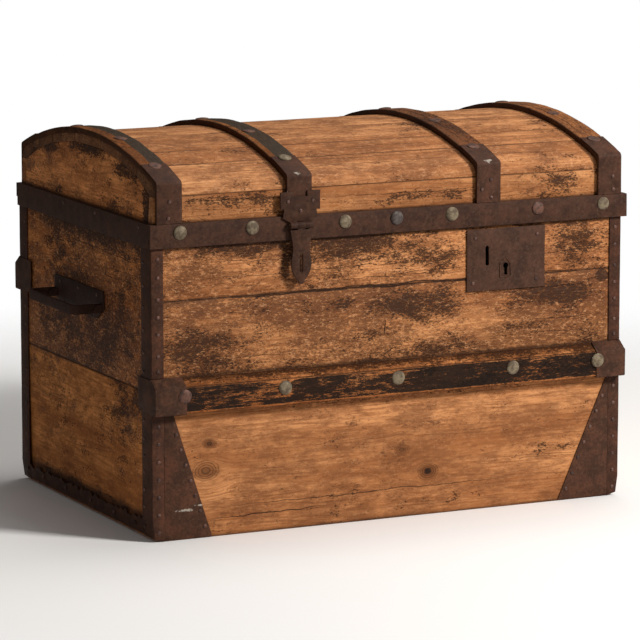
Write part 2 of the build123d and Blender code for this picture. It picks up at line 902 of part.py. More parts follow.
def make_body():
    """Every piece that belongs to the standing body."""
    for where, joints in (("front", front_joints), ("back", back_joints)):
        wall_y = depth_sign[where] * (back_y - board_thickness / 2)
        for level, low, high in zip(("lower", "middle", "upper"), joints, joints[1:]):
            make_wall_board(f"{where}_board_{level}", wall_y, low, high)
    for hand, side in side_sign.items():
        for level, low, high in zip(("lower", "upper"), end_joints, end_joints[1:]):
            make_end_board(f"{hand}_end_board_{level}", side, low, high)
    make_floor_board("floor_board_front", -1)
    make_floor_board("floor_board_rear", 1)
    for where in depth_sign:
        make_batten(where)
        for hand in side_sign:
            make_corner_angle(where, hand)
    make_batten_caps()
    make_corner_feet()
    make_lock_plate()
    make_lock_case()
    make_lock_bolt()
    for hand in side_sign:
        make_base_strap(hand)
        make_handle_plate(hand)
        make_handle_bail(hand)


def make_lid():
    """Every piece that turns with the lid."""
    envelope = lid_envelope()
    for where in depth_sign:
        make_lid_wall_board(where, envelope)
    for hand in side_sign:
        make_lid_end_board(hand)
        make_end_band(hand)
    joints = stave_joints()
    make_shoulder_stave(1, "front", envelope)
    for number, (start, end) in enumerate(zip(joints, joints[1:]), start=2):
        make_middle_stave(number, start, end, envelope)
    make_shoulder_stave(len(joints) + 1, "back", envelope)
    make_front_band()
    make_back_band()
    for number, offset in enumerate(slat_offsets, start=1):
        make_slat(number, offset)
    make_slat_caps()
    make_hasp_plate()
    make_hasp_pin()
    make_hasp_tongue()


def make_nails():
    """Every nail head, grouped by size and by the half that it belongs to."""
    large = nail_head(large_nail_radius, large_nail_height)
    small = nail_head(small_nail_radius, small_nail_height)
    save_nails("large_nails_body", large, large_nails_body_places())
    save_nails("large_nails_lid", large, large_nails_lid_places())
    save_nails("small_nails_body", small, small_nails_body_places())
    save_nails("small_nails_lid", small, small_nails_lid_places())


os.makedirs("parts", exist_ok=True)
make_body()
make_lid()
make_lower_leaves()
make_upper_leaves()
make_hinge_pins()
make_nails()
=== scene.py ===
# %% [markdown]
# An old travel chest with a shallow domed lid, bent slats, iron corners, a hasp and a lock plate.
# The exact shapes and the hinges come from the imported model. This script gives every board and
# every iron the softened edges, finish and wear that decades of use leave behind.

# %% Load the fixed frame
import json
import math

import bmesh
import bpy
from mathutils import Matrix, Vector, noise

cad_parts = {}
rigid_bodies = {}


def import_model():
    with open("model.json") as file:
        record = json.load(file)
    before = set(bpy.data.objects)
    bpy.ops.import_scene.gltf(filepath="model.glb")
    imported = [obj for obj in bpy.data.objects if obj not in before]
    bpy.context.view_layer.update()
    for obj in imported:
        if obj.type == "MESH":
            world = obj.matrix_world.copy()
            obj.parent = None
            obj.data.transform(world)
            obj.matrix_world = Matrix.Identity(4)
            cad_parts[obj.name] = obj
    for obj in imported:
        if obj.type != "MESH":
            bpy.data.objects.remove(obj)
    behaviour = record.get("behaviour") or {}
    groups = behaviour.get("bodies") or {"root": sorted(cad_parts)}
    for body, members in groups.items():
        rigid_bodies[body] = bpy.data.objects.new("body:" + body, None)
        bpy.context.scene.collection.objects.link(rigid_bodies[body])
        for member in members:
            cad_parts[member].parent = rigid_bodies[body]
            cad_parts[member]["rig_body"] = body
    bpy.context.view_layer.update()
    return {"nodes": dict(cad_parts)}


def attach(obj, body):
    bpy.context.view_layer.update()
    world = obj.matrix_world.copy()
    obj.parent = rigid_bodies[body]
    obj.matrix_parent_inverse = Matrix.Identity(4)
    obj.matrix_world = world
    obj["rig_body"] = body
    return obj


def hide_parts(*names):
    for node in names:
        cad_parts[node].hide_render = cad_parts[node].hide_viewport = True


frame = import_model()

MM = 0.001
nodes = frame["nodes"]
scene = bpy.context.scene
print("CAD pieces:", len(nodes))

# %% [markdown]
# The camera stands well back with a long lens, a little above the lid and to the left of the
# front, so that the left end shows as a narrow dark side and the lines barely converge.

# %% Camera
AZIMUTH = math.radians(-25.77)
ELEVATION = math.radians(9.64)
CAMERA_DISTANCE = 6.264
VIEW_CENTRE = Vector((0.0015, -0.0076, 0.2635))


def add_object(name, data):
    """A new object in the scene, at the origin."""
    made = bpy.data.objects.new(name, data)
    scene.collection.objects.link(made)
    return made


towards_camera = Vector((
    math.sin(AZIMUTH) * math.cos(ELEVATION),
    -math.cos(AZIMUTH) * math.cos(ELEVATION),
    math.sin(ELEVATION),
))
camera = add_object("camera", bpy.data.cameras.new("camera"))
camera.data.lens = 228
camera.data.sensor_width = 36
camera.location = VIEW_CENTRE + towards_camera * CAMERA_DISTANCE
camera.rotation_euler = towards_camera.to_track_quat("Z", "Y").to_euler()
scene.camera = camera
print("camera at", [round(c, 2) for c in camera.location])

# %% [markdown]
# One large soft light from the right, above and in front leaves the left end in deep shade. A weak
# one overhead lifts the back of the lid. Area lights are used because their size sets how soft the
# shadows are.

# %% Lights
WARM_WHITE = (1, 0.965, 0.925)
CHEST_MIDDLE = Vector((0, 0, 0.3))


def add_area_light(name, place, size, power):
    """A square soft light that faces the chest."""
    light = add_object(name, bpy.data.lights.new(name, "AREA"))
    light.data.size = size
    light.data.energy = power
    light.data.color = WARM_WHITE
    light.location = place
    light.rotation_euler = (Vector(place) - CHEST_MIDDLE).to_track_quat("Z", "Y").to_euler()
    print(name, size, "m wide,", power, "W")


scene.view_settings.view_transform = "Standard"
add_area_light("key_light", (1.9, -2.6, 2.3), 0.65, 152)
add_area_light("top_light", (0.7, 0.4, 3.2), 1.6, 34)

# %% [markdown]
# Every colour below is made by nodes. Long node code is hard to read, so a few short helpers each
# make one kind of node, fill its inputs with values or links, and hand back its result.

# %% Node helpers
def feed(tree, socket, value):
    """Link another socket to this one, or set its plain value."""
    if isinstance(value, bpy.types.NodeSocket):
        tree.links.new(value, socket)
    else:
        socket.default_value = value


def add_node(tree, kind, inputs=None, **settings):
    """Make a node, set its options, and fill its inputs."""
    made = tree.nodes.new(kind)
    for key, value in settings.items():
        setattr(made, key, value)
    for key, value in (inputs or {}).items():
        feed(tree, made.inputs[key], value)
    return made


def maths(tree, operation, first, second=0.0, clamp=False):
    """One Math node, and its result."""
    inputs = {0: first, 1: second}
    return add_node(tree, "ShaderNodeMath", inputs, operation=operation, use_clamp=clamp).outputs[0]


def plus(tree, first, second):
    """The sum of two values."""
    return maths(tree, "ADD", first, second)


def minus(tree, first, second):
    """The difference of two values."""
    return maths(tree, "SUBTRACT", first, second)


def times(tree, first, second):
    """The product of two values."""
    return maths(tree, "MULTIPLY", first, second)


def vector_maths(tree, operation, first, second=(0, 0, 0)):
    """One Vector Math node, and its vector."""
    return add_node(tree, "ShaderNodeVectorMath", {0: first, 1: second}, operation=operation).outputs[0]


def length_of(tree, vector):
    """The length of a vector."""
    return add_node(tree, "ShaderNodeVectorMath", {0: vector}, operation="LENGTH").outputs["Value"]


def resized(tree, vector, scale):
    """A vector times one number."""
    inputs = {0: vector, "Scale": scale}
    return add_node(tree, "ShaderNodeVectorMath", inputs, operation="SCALE").outputs[0]


def cloud(tree, vector, scale, detail=4, roughness=0.6, distortion=0):
    """A noise between 0 and 1."""
    inputs = {"Vector": vector, "Scale": scale, "Detail": detail, "Roughness": roughness,
              "Distortion": distortion}
    return add_node(tree, "ShaderNodeTexNoise", inputs).outputs["Fac"]


def smooth_step(tree, value, low, high, from_value=0.0, to_value=1.0):
    """A soft step between two thresholds."""
    inputs = {"Value": value, "From Min": low, "From Max": high, "To Min": from_value, "To Max": to_value}
    return add_node(tree, "ShaderNodeMapRange", inputs, interpolation_type="SMOOTHSTEP").outputs[0]


def blend(tree, amount, under, over, mode="MIX"):
    """Mix two colours, which are sockets 6 and 7 of a Mix node, with its colour result in socket 2."""
    inputs = {0: amount, 6: under, 7: over}
    return add_node(tree, "ShaderNodeMix", inputs, data_type="RGBA", blend_type=mode).outputs[2]


print("node helpers ready")

# %% [markdown]
# The world gives only a little warm fill, and looks white behind the chest. A Light Path node tells
# what the camera sees from what lights the scene, so the two can differ.

# %% World
FILL_STRENGTH = 0.16
world = bpy.data.worlds.new("studio")
scene.world = world
world.use_nodes = True
tree = world.node_tree
tree.nodes.clear()
seen = add_node(tree, "ShaderNodeLightPath").outputs["Is Camera Ray"]
fill = add_node(tree, "ShaderNodeBackground", {"Color": (1, 0.97, 0.94, 1), "Strength": FILL_STRENGTH})
backdrop = add_node(tree, "ShaderNodeBackground", {"Color": (1, 1, 1, 1)})
either = add_node(tree, "ShaderNodeMixShader", {"Fac": seen, 1: fill.outputs[0], 2: backdrop.outputs[0]})
add_node(tree, "ShaderNodeOutputWorld", {"Surface": either.outputs[0]})
print("fill strength:", FILL_STRENGTH)

# %% [markdown]
# A pale floor catches the shadow. It fades out with the distance from the chest, so that its far
# edge doesn't show against the white background.

# %% Floor
FLOOR_REACH = 4
FADE_START = 0.75
FADE_END = 1.9
FLOOR_GREY = (0.93, 0.93, 0.93, 1)


def finish_base(name):
    """A new material, with its tree, its shader and its Object coordinates."""
    finish = bpy.data.materials.new(name)
    finish.use_nodes = True
    tree = finish.node_tree
    place = tree.nodes.new("ShaderNodeTexCoord").outputs["Object"]
    return finish, tree, tree.nodes["Principled BSDF"].inputs, place


floor_mesh = bpy.data.meshes.new("floor")
corners = [(x * FLOOR_REACH, y * FLOOR_REACH, 0) for x, y in ((-1, -1), (1, -1), (1, 1), (-1, 1))]
floor_mesh.from_pydata(corners, [], [(0, 1, 2, 3)])
floor = add_object("floor", floor_mesh)
floor_paint, tree, shader, place = finish_base("floor_paint")
shader["Base Color"].default_value = FLOOR_GREY
shader["Roughness"].default_value = 0.9
fade = smooth_step(tree, length_of(tree, place), FADE_START, FADE_END, 1.0, 0.0)
tree.links.new(fade, shader["Alpha"])
floor_mesh.materials.append(floor_paint)
print("floor:", 2 * FLOOR_REACH, "m wide")

# %% [markdown]
# Materials are built from small node groups. Each group is one effect of age, such as grain, grime,
# a spot, a crack or rust, and puts out only masks, values or a colour. Every finish then places the
# groups it needs with its own values.

# %% Group helpers
SOCKET_KINDS = {"value": "NodeSocketFloat", "vector": "NodeSocketVector", "colour": "NodeSocketColor"}


def new_group(name, inputs, outputs):
    """An empty shader group with named sockets, and its input and output nodes."""
    tree = bpy.data.node_groups.new(name, "ShaderNodeTree")
    for side, sockets in (("INPUT", inputs), ("OUTPUT", outputs)):
        for label, kind in sockets.items():
            tree.interface.new_socket(label, in_out=side, socket_type=SOCKET_KINDS[kind])
    return tree, tree.nodes.new("NodeGroupInput").outputs, tree.nodes.new("NodeGroupOutput").inputs


def place_group(tree, group, inputs):
    """Put a group into a tree with its own values, and give its outputs."""
    return add_node(tree, "ShaderNodeGroup", inputs, node_tree=group).outputs


print("kinds of socket:", ", ".join(SOCKET_KINDS))

# %% [markdown]
# Pine grain is long and narrow: broad soft bands where the saw cut through growth rings, and fine
# hard lines along them. Noise on a space squeezed along the board gives both. Real boards differ,
# so each one looks at another stretch of the same noise, moved by its own shift.

# %% Grain group
RING_COUNT = 26
grain_group, given, out = new_group(
    "wood_grain",
    {"Vector": "vector", "Squeeze": "vector", "Shift": "vector"},
    {"Figure": "value", "Lines": "value", "Fibre": "value", "Specks": "value"},
)
tree = grain_group
squeezed = vector_maths(tree, "MULTIPLY", given["Vector"], given["Squeeze"])
squeezed = vector_maths(tree, "ADD", squeezed, given["Shift"])
tree.links.new(cloud(tree, squeezed, 0.55, distortion=0.4), out["Figure"])
rings = cloud(tree, squeezed, 0.9, detail=2, roughness=0.45, distortion=0.2)
ring_wave = maths(tree, "SINE", times(tree, times(tree, rings, RING_COUNT), math.pi))
ring_line = smooth_step(tree, ring_wave, 0.1, 1.0)
streaks = smooth_step(tree, cloud(tree, squeezed, 5, roughness=0.7), 0.3, 0.62)
tree.links.new(times(tree, ring_line, streaks), out["Lines"])
tree.links.new(cloud(tree, squeezed, 9, detail=5, roughness=0.8), out["Fibre"])
half_squeezed = vector_maths(tree, "MULTIPLY", given["Vector"], (0.7, 0.7, 1.0))
half_squeezed = vector_maths(tree, "ADD", half_squeezed, given["Shift"])
specks = smooth_step(tree, cloud(tree, half_squeezed, 260, roughness=0.8), 0.53, 0.62)
clusters = smooth_step(tree, cloud(tree, half_squeezed, 22, roughness=0.7), 0.44, 0.62)
tree.links.new(times(tree, specks, clusters), out["Specks"])
print(tree.name, len(tree.nodes), "nodes")

# %% [markdown]
# Old varnish and dirt come off in ragged flakes. Three noises of different sizes are added, and a
# narrow step cuts the sum, so that large stains keep crumbly edges. Raising Amount grows the stains.

# %% Flaking dirt group
STAIN_LEVEL = 1.45
CHIP_LOSS = 0.65
flake_group, given, out = new_group(
    "flaking_dirt",
    {"Vector": "vector", "Amount": "value", "Size": "value", "Softness": "value"},
    {"Stain": "value", "Haze": "value", "Mottle": "value", "Chips": "value"},
)
tree = flake_group
scaled = resized(tree, given["Vector"], given["Size"])
broad = cloud(tree, scaled, 5.5, detail=3)
crumbs = cloud(tree, scaled, 44, detail=6, roughness=0.8)
grit = cloud(tree, scaled, 330, detail=3, roughness=0.7)
total = plus(tree, times(tree, broad, 0.9), times(tree, crumbs, 1.1))
total = plus(tree, total, times(tree, grit, 0.9))
total = plus(tree, minus(tree, total, STAIN_LEVEL), given["Amount"])
chips = smooth_step(tree, cloud(tree, scaled, 260, roughness=0.8), 0.53, 0.58)
kept = minus(tree, 1.0, times(tree, chips, CHIP_LOSS))
stain = times(tree, smooth_step(tree, total, 0.0, given["Softness"]), kept)
mottle = smooth_step(tree, cloud(tree, scaled, 24, detail=9, roughness=0.8), 0.42, 0.60)
pale_chips = smooth_step(tree, cloud(tree, scaled, 150, detail=5, roughness=0.85), 0.54, 0.60)
haze = smooth_step(tree, plus(tree, minus(tree, broad, 0.55), given["Amount"]), -0.12, 0.22)
for label, mask in (("Stain", stain), ("Mottle", mottle), ("Chips", pale_chips), ("Haze", haze)):
    tree.links.new(mask, out[label])
print(tree.name, len(tree.nodes), "nodes")

# %% [markdown]
# A few marks sit at known places: a stain, a knot, a rubbed fold. A soft spot is 1 at its centre and
# fades to 0 at its rim.

# %% Soft spot group
spot_group, given, out = new_group(
    "soft_spot", {"Vector": "vector", "Centre": "vector", "Reach": "vector"}, {"Mask": "value"})
tree = spot_group
away = vector_maths(tree, "SUBTRACT", given["Vector"], given["Centre"])
away = vector_maths(tree, "DIVIDE", away, given["Reach"])
tree.links.new(smooth_step(tree, length_of(tree, away), 1.0, 0.0), out["Mask"])


def in_metres(millimetres):
    """Sizes or a place in millimetres as metres."""
    return [value * MM for value in millimetres]


def spots_sum(tree, place, spots):
    """The sum of several soft spots: (centre mm, reach mm, strength)."""
    total = 0.0
    for centre, reach, strength in spots:
        inputs = {"Vector": place, "Centre": in_metres(centre), "Reach": in_metres(reach)}
        mask = place_group(tree, spot_group, inputs)["Mask"]
        total = plus(tree, total, times(tree, mask, strength))
    return total


print(tree.name, len(tree.nodes), "nodes")

# %% [markdown]
# Dry boards split along the grain. A crack is a thin dark line at a level across the board. It
# wanders a little, may climb, and tapers to nothing at both ends.

# %% Crack group
WANDER = 0.012
NO_WIDTH = 0.00001
crack_group, given, out = new_group(
    "long_crack",
    {"Along": "value", "Across": "value", "Start": "value", "End": "value", "Level": "value",
     "Slope": "value", "Width": "value", "Vector": "vector"},
    {"Mask": "value"},
)
tree = crack_group
wander = times(tree, minus(tree, cloud(tree, given["Vector"], 18), 0.5), WANDER)
run = minus(tree, given["Along"], given["Start"])
line = plus(tree, given["Level"], times(tree, run, given["Slope"]))
gap = maths(tree, "ABSOLUTE", minus(tree, given["Across"], plus(tree, line, wander)))
share = maths(tree, "DIVIDE", run, minus(tree, given["End"], given["Start"]))
taper = times(tree, share, minus(tree, 1.0, share))
taper = maths(tree, "MULTIPLY", taper, 4.0, clamp=True)
width = plus(tree, times(tree, given["Width"], taper), NO_WIDTH)
mask = smooth_step(tree, maths(tree, "DIVIDE", gap, width), 1.0, 0.4)
tree.links.new(times(tree, mask, smooth_step(tree, taper, 0.0, 0.1)), out["Mask"])
print(tree.name, len(tree.nodes), "nodes")

# %% [markdown]
# Round a knot the grain bends, dark rings show, and the heart is nearly black. The space that the grain
# reads is pinched towards the knot, and rings are drawn over it. Cracks and the dirt that collects at a
# board's edges are laid on top in the same way, one mask after another. Some of those edge lines are
# painted shade: under the lid's band, under the front batten, and along each slat's side away from the
# light.

# %% Marks on a board
GRAIN_BROWN = (0.13, 0.042, 0.012, 1)
# Dark brown is for dirt and also for painted shadows under the batten and the band. Black is for cracks and
# knot hearts and also for painted shade in the keyholes.
DIRT_AND_SHADE_BROWN = (0.034, 0.0135, 0.0065, 1)
CRACK_AND_SHADE_BLACK = (0.012, 0.007, 0.005, 1)
# A crack runs along the first axis at a level of the second.
CRACK_AXES = {"x": (0, 2), "y": (1, 2), "z": (2, 0), "over": (1, 0), "flat": (0, 1)}


def pinch_at_knots(tree, place, knots):
    """Bend the space of the grain round every knot."""
    bent = place
    for centre, radius, _ in knots:
        near = spots_sum(tree, place, [(centre, [radius * 3.2] * 3, 1.0)])
        away = vector_maths(tree, "SUBTRACT", place, in_metres(centre))
        bent = vector_maths(tree, "ADD", bent, resized(tree, away, times(tree, near, -0.75)))
    return bent


def draw_knots(tree, place, fibre, wood, knots):
    """Rings and a dark heart at every knot: (centre mm, radius mm, darkness)."""
    for centre, radius, darkness in knots:
        core = spots_sum(tree, place, [(centre, [radius * 1.9, 400, radius * 1.35], 1.0)])
        core = plus(tree, core, times(tree, minus(tree, fibre, 0.5), 0.35))
        ring = maths(tree, "SINE", times(tree, core, 30))
        shade = smooth_step(tree, core, 0.05, 0.7, 0.0, 0.35 + 0.4 * darkness)
        wood = blend(tree, shade, wood, GRAIN_BROWN)
        ring = times(tree, smooth_step(tree, ring, 0.0, 1.0), smooth_step(tree, core, 0.1, 0.35, 0.0, 0.55))
        wood = blend(tree, ring, wood, DIRT_AND_SHADE_BROWN)
        wood = blend(tree, smooth_step(tree, core, 0.72, 0.95, 0.0, 0.9 * darkness), wood, CRACK_AND_SHADE_BLACK)
    return wood


def draw_cracks(tree, place, axes, wood, hollow, cracks):
    """Dark, hollow lines: (axis, start, end, level, slope, width), all but the slope in mm."""
    for axis, start, end, level, slope, width in cracks:
        along, across = CRACK_AXES[axis]
        inputs = {"Along": axes[along], "Across": axes[across], "Start": start * MM, "End": end * MM,
                  "Level": level * MM, "Slope": slope, "Width": width * MM, "Vector": place}
        mask = place_group(tree, crack_group, inputs)["Mask"]
        wood = blend(tree, times(tree, mask, 0.9), wood, CRACK_AND_SHADE_BLACK)
        hollow = plus(tree, hollow, times(tree, mask, 2.0))
    return wood, hollow


def edge_dirt_and_shade(tree, axes, fibre, wood, edges):
    """Ragged dirt at the joints of a board, and painted shade along edges under a band or batten and on a
    slat's side away from the light: (axis number, level mm, reach mm).
    """
    for axis_number, level, reach in edges:
        near = maths(tree, "ABSOLUTE", minus(tree, axes[axis_number], level * MM))
        ragged = plus(tree, near, times(tree, minus(tree, fibre, 0.5), reach * MM * 1.6))
        mask = smooth_step(tree, ragged, reach * MM, 0.0)
        wood = blend(tree, times(tree, mask, 0.8), wood, DIRT_AND_SHADE_BROWN)
    return wood


print("ways a crack can run:", len(CRACK_AXES))

# %% [markdown]
# Bare pine: warm orange-brown wood, darker lines of grain, a brown haze where varnish is left, and
# nearly black dirt that flakes off. Bump from the fibres and the flakes breaks up the light. The
# wood is built as layers of colour, the way grime really settles on it.

# %% Pine finish
PALE_PINE = (0.60, 0.268, 0.104, 1)
DEEP_PINE = (0.275, 0.094, 0.028, 1)
VARNISH_BROWN = (0.108, 0.038, 0.0135, 1)
MOTTLE_BROWN = (0.17, 0.061, 0.022, 1)
FLECK_PINE = (0.68, 0.345, 0.160, 1)
NO_TINT = (1, 1, 1, 1)
ALONG_X = (2.2, 30, 30)
ALONG_Y = (30, 2.2, 30)
ALONG_X_FLAT = (2.2, 26, 40)
VARNISH_SHIFT = (3.1, 5.2, 1.7)


def split(tree, place):
    """The three coordinates of a vector."""
    return add_node(tree, "ShaderNodeSeparateXYZ", {0: place}).outputs


def dress(tree, shader, colour, roughness, height, relief, specular):
    """Wire a finish to its shader. Relief is the bump's strength and distance."""
    tree.links.new(colour, shader["Base Color"])
    tree.links.new(roughness, shader["Roughness"])
    inputs = {"Height": height, "Strength": relief[0], "Distance": relief[1]}
    bump = add_node(tree, "ShaderNodeBump", inputs)
    tree.links.new(bump.outputs["Normal"], shader["Normal"])
    shader["Specular IOR Level"].default_value = specular


def make_pine(name, squeeze=ALONG_X, shift=(0, 0, 0), dirt=0.0, varnish=0.0, flake_size=1.0, stains_and_shade=(),
              knots=(), cracks=(), tint=NO_TINT, edges=(), hole_shade=(), mottle=0.5, flecks=0.2):
    """Worn pine. Squeeze and shift place its grain; stain spots, some of them painted shadows, and the
    painted shade in keyholes are soft spots.
    """
    finish, tree, shader, place = finish_base(name)
    axes = split(tree, place)
    grain_place = pinch_at_knots(tree, place, knots)
    grain = place_group(tree, grain_group, {"Vector": grain_place, "Squeeze": squeeze, "Shift": shift})
    fibre = grain["Fibre"]
    stretch = (0.55, 0.8, 1.25) if squeeze[0] < squeeze[1] else (1, 0.6, 1.25)
    dirt_place = vector_maths(tree, "MULTIPLY", place, stretch)
    dirt_place = vector_maths(tree, "ADD", dirt_place, [0.37 * s for s in shift])
    amount = plus(tree, spots_sum(tree, place, stains_and_shade), dirt)
    inputs = {"Vector": dirt_place, "Amount": amount, "Size": flake_size, "Softness": 0.06}
    flakes = place_group(tree, flake_group, inputs)
    inputs = {"Vector": vector_maths(tree, "ADD", dirt_place, VARNISH_SHIFT),
              "Amount": plus(tree, times(tree, amount, 0.6), varnish), "Size": flake_size, "Softness": 0.12}
    old_varnish = place_group(tree, flake_group, inputs)["Stain"]

    wood = blend(tree, smooth_step(tree, grain["Figure"], 0.36, 0.66, 0.0, 0.85), PALE_PINE, DEEP_PINE)
    wood = blend(tree, times(tree, grain["Lines"], 0.45), wood, GRAIN_BROWN)
    wood = blend(tree, smooth_step(tree, fibre, 0.46, 0.58, 0.0, 0.6), wood, DEEP_PINE)
    wood = blend(tree, times(tree, grain["Specks"], 0.7), wood, GRAIN_BROWN)
    wood = blend(tree, times(tree, flakes["Mottle"], mottle), wood, MOTTLE_BROWN)
    wood = blend(tree, 1.0, wood, tint, "MULTIPLY")
    wood = blend(tree, times(tree, old_varnish, 0.78), wood, VARNISH_BROWN)
    wood = blend(tree, times(tree, flakes["Haze"], 0.45), wood, VARNISH_BROWN)
    fleck = times(tree, flakes["Chips"], flecks)
    wood = blend(tree, fleck, wood, blend(tree, 1.0, FLECK_PINE, tint, "MULTIPLY"))
    # Where a spot from the list of stains raises the amount, this dark layer is painted shadow, not dirt:
    # under the front batten and round the hasp's tongue.
    wood = blend(tree, times(tree, flakes["Stain"], 0.88), wood, DIRT_AND_SHADE_BROWN)
    hollow = times(tree, flakes["Stain"], 0.5)
    wood = draw_knots(tree, place, fibre, wood, knots)
    wood, hollow = draw_cracks(tree, place, axes, wood, hollow, cracks)
    wood = edge_dirt_and_shade(tree, axes, fibre, wood, edges)
    # Painted shade: these nearly black spots stand for the dark inside of holes, such as the lock plate's
    # keyhole.
    if hole_shade:
        shade = smooth_step(tree, spots_sum(tree, place, hole_shade), 0.05, 0.3)
        wood = blend(tree, shade, wood, CRACK_AND_SHADE_BLACK)
    roughness = smooth_step(tree, old_varnish, 0.0, 1.0, 0.72, 0.55)
    height = minus(tree, times(tree, fibre, 0.5), times(tree, grain["Lines"], 0.35))
    dress(tree, shader, wood, roughness, minus(tree, height, hollow), (0.75, 0.0012), 0.12)
    return finish


print("pine runs from", PALE_PINE[:3], "to", DIRT_AND_SHADE_BROWN[:3])

# %% [markdown]
# The sheet iron is dark maroon with rust, scale and pits. Rust is no metal any more, so the finish
# isn't metallic, and it is rough enough to look dull.

# %% Rusty iron group
IRON_DARK = (0.029, 0.0140, 0.0092, 1)
IRON_MAROON = (0.071, 0.0320, 0.0195, 1)
RUST_BROWN = (0.110, 0.042, 0.021, 1)
SCALE_GREY = (0.086, 0.057, 0.040, 1)
iron_group, given, out = new_group(
    "rusty_iron",
    {"Vector": "vector", "Shift": "vector", "Rust": "value"},
    {"Colour": "colour", "Roughness": "value", "Height": "value"},
)
tree = iron_group
moved = vector_maths(tree, "ADD", given["Vector"], given["Shift"])
patches = cloud(tree, moved, 34, detail=7, roughness=0.78)
pits = cloud(tree, moved, 190, roughness=0.75)
grit = cloud(tree, moved, 520, detail=2)
colour = blend(tree, smooth_step(tree, patches, 0.36, 0.58, 0.25, 1.0), IRON_DARK, IRON_MAROON)
rust = plus(tree, plus(tree, patches, times(tree, pits, 0.6)), given["Rust"])
colour = blend(tree, times(tree, smooth_step(tree, rust, 0.82, 0.98), 0.55), colour, RUST_BROWN)
colour = blend(tree, smooth_step(tree, pits, 0.54, 0.64, 0.0, 0.5), colour, SCALE_GREY)
colour = blend(tree, smooth_step(tree, pits, 0.45, 0.36, 0.0, 0.7), colour, IRON_DARK)
tree.links.new(colour, out["Colour"])
tree.links.new(smooth_step(tree, pits, 0.3, 0.7, 0.50, 0.74), out["Roughness"])
tree.links.new(plus(tree, times(tree, pits, 0.7), times(tree, grit, 0.2)), out["Height"])
print(tree.name, len(tree.nodes), "nodes")

# %% [markdown]
# The same iron serves every band, cap and plate, each with its own tint and its own stretch of noise. Soft
# spots lay pale silver on a few folds: wear where straps and hands rubbed them, and on the slat caps also a
# painted highlight where the light glints on the fold.

# %% Iron finish
SILVER_WEAR_AND_GLINT = (0.33, 0.285, 0.24, 1)


def make_iron(name, shift=(0, 0, 0), rust=0.0, bright_spots=(), tint=NO_TINT):
    """Rusty sheet iron with a few pale silver spots: rubbed wear, and on the slat caps painted highlights.
    """
    finish, tree, shader, place = finish_base(name)
    iron = place_group(tree, iron_group, {"Vector": place, "Shift": shift, "Rust": rust})
    colour = blend(tree, 1.0, iron["Colour"], tint, "MULTIPLY")
    if bright_spots:
        wear_and_glint = spots_sum(tree, place, bright_spots)
        wear_and_glint = smooth_step(tree, plus(tree, wear_and_glint, cloud(tree, place, 120, detail=3)), 1.05, 1.2)
        colour = blend(tree, wear_and_glint, colour, SILVER_WEAR_AND_GLINT)
    dress(tree, shader, colour, iron["Roughness"], iron["Height"], (0.5, 0.0008), 0.11)
    return finish


print("rubbed iron:", SILVER_WEAR_AND_GLINT[:3])

# %% [markdown]
# Domed nail heads are tarnished to a grey-olive, with scratches and darker blotches of dirt. A few
# were replaced, and are rusty or bluish. Two noises, one of them squeezed, make both marks.

# %% Nail finish
def make_nail_metal(name, pale, dark, shift=(0, 0, 0)):
    """Tarnished metal with blotches and fine scratches."""
    finish, tree, shader, place = finish_base(name)
    moved = vector_maths(tree, "ADD", place, shift)
    blotches = cloud(tree, moved, 90, roughness=0.65)
    scratches = cloud(tree, vector_maths(tree, "MULTIPLY", moved, (1, 1, 7)), 160, detail=3, roughness=0.7)
    colour = blend(tree, smooth_step(tree, blotches, 0.42, 0.6), pale, dark)
    colour = blend(tree, smooth_step(tree, scratches, 0.54, 0.6, 0.0, 0.6), colour, dark)
    roughness = smooth_step(tree, blotches, 0.3, 0.7, 0.5, 0.72)
    dress(tree, shader, colour, roughness, scratches, (0.35, 0.0005), 0.3)
    shader["Metallic"].default_value = 0.15
    return finish


nail_olive = make_nail_metal("nail_olive", (0.215, 0.170, 0.108, 1), (0.10, 0.071, 0.044, 1))
nail_rust = make_nail_metal("nail_rusty", (0.14, 0.062, 0.040, 1), (0.055, 0.03, 0.024, 1), (2, 0, 0))
nail_blue = make_nail_metal("nail_bluish", (0.105, 0.088, 0.080, 1), (0.05, 0.034, 0.029, 1), (4, 0, 0))
nail_iron = make_nail_metal("nail_iron", (0.135, 0.068, 0.050, 1), (0.05, 0.026, 0.02, 1), (6, 0, 0))
print("nail finishes:", nail_olive.name, nail_rust.name, nail_blue.name, nail_iron.name)

# %% [markdown]
# Paint on the battens and slats is worn through where hands and ropes rubbed. A layer of paint lies
# over a pine finish: a ragged mask, lower near the edges, decides where the wood shows.

# %% Paint over pine
def paint_over(finish, bare_zones, paint, scuffed, coverage, squeeze, shift):
    """Lay worn paint over a finish. Bare zones are strips (axis, level mm, reach mm, side)."""
    tree = finish.node_tree
    shader = tree.nodes["Principled BSDF"].inputs
    place = next(n for n in tree.nodes if n.type == "TEX_COORD").outputs["Object"]
    axes = split(tree, place)
    stretched = vector_maths(tree, "ADD", vector_maths(tree, "MULTIPLY", place, squeeze), shift)
    wear = cloud(tree, stretched, 1.3, detail=7, roughness=0.78)
    grit = cloud(tree, stretched, 9, detail=5, roughness=0.8)
    level = plus(tree, plus(tree, wear, times(tree, grit, 0.7)), coverage - 0.95)
    zones = cloud(tree, vector_maths(tree, "ADD", place, shift), 9, detail=3)
    level = plus(tree, level, times(tree, minus(tree, zones, 0.5), 0.5))
    for axis_number, edge, reach, side in bare_zones:
        run = times(tree, minus(tree, axes[axis_number], edge * MM), side / (reach * MM))
        level = minus(tree, level, smooth_step(tree, run, -1.0, 1.0, 0.0, 1.4))
    mask = smooth_step(tree, level, 0.0, 0.05)
    coat = blend(tree, smooth_step(tree, grit, 0.47, 0.72), paint, scuffed)
    wood = shader["Base Color"].links[0].from_socket
    tree.links.new(blend(tree, times(tree, mask, 0.96), wood, coat), shader["Base Color"])
    shader["Specular IOR Level"].default_value = 0.05
    return finish


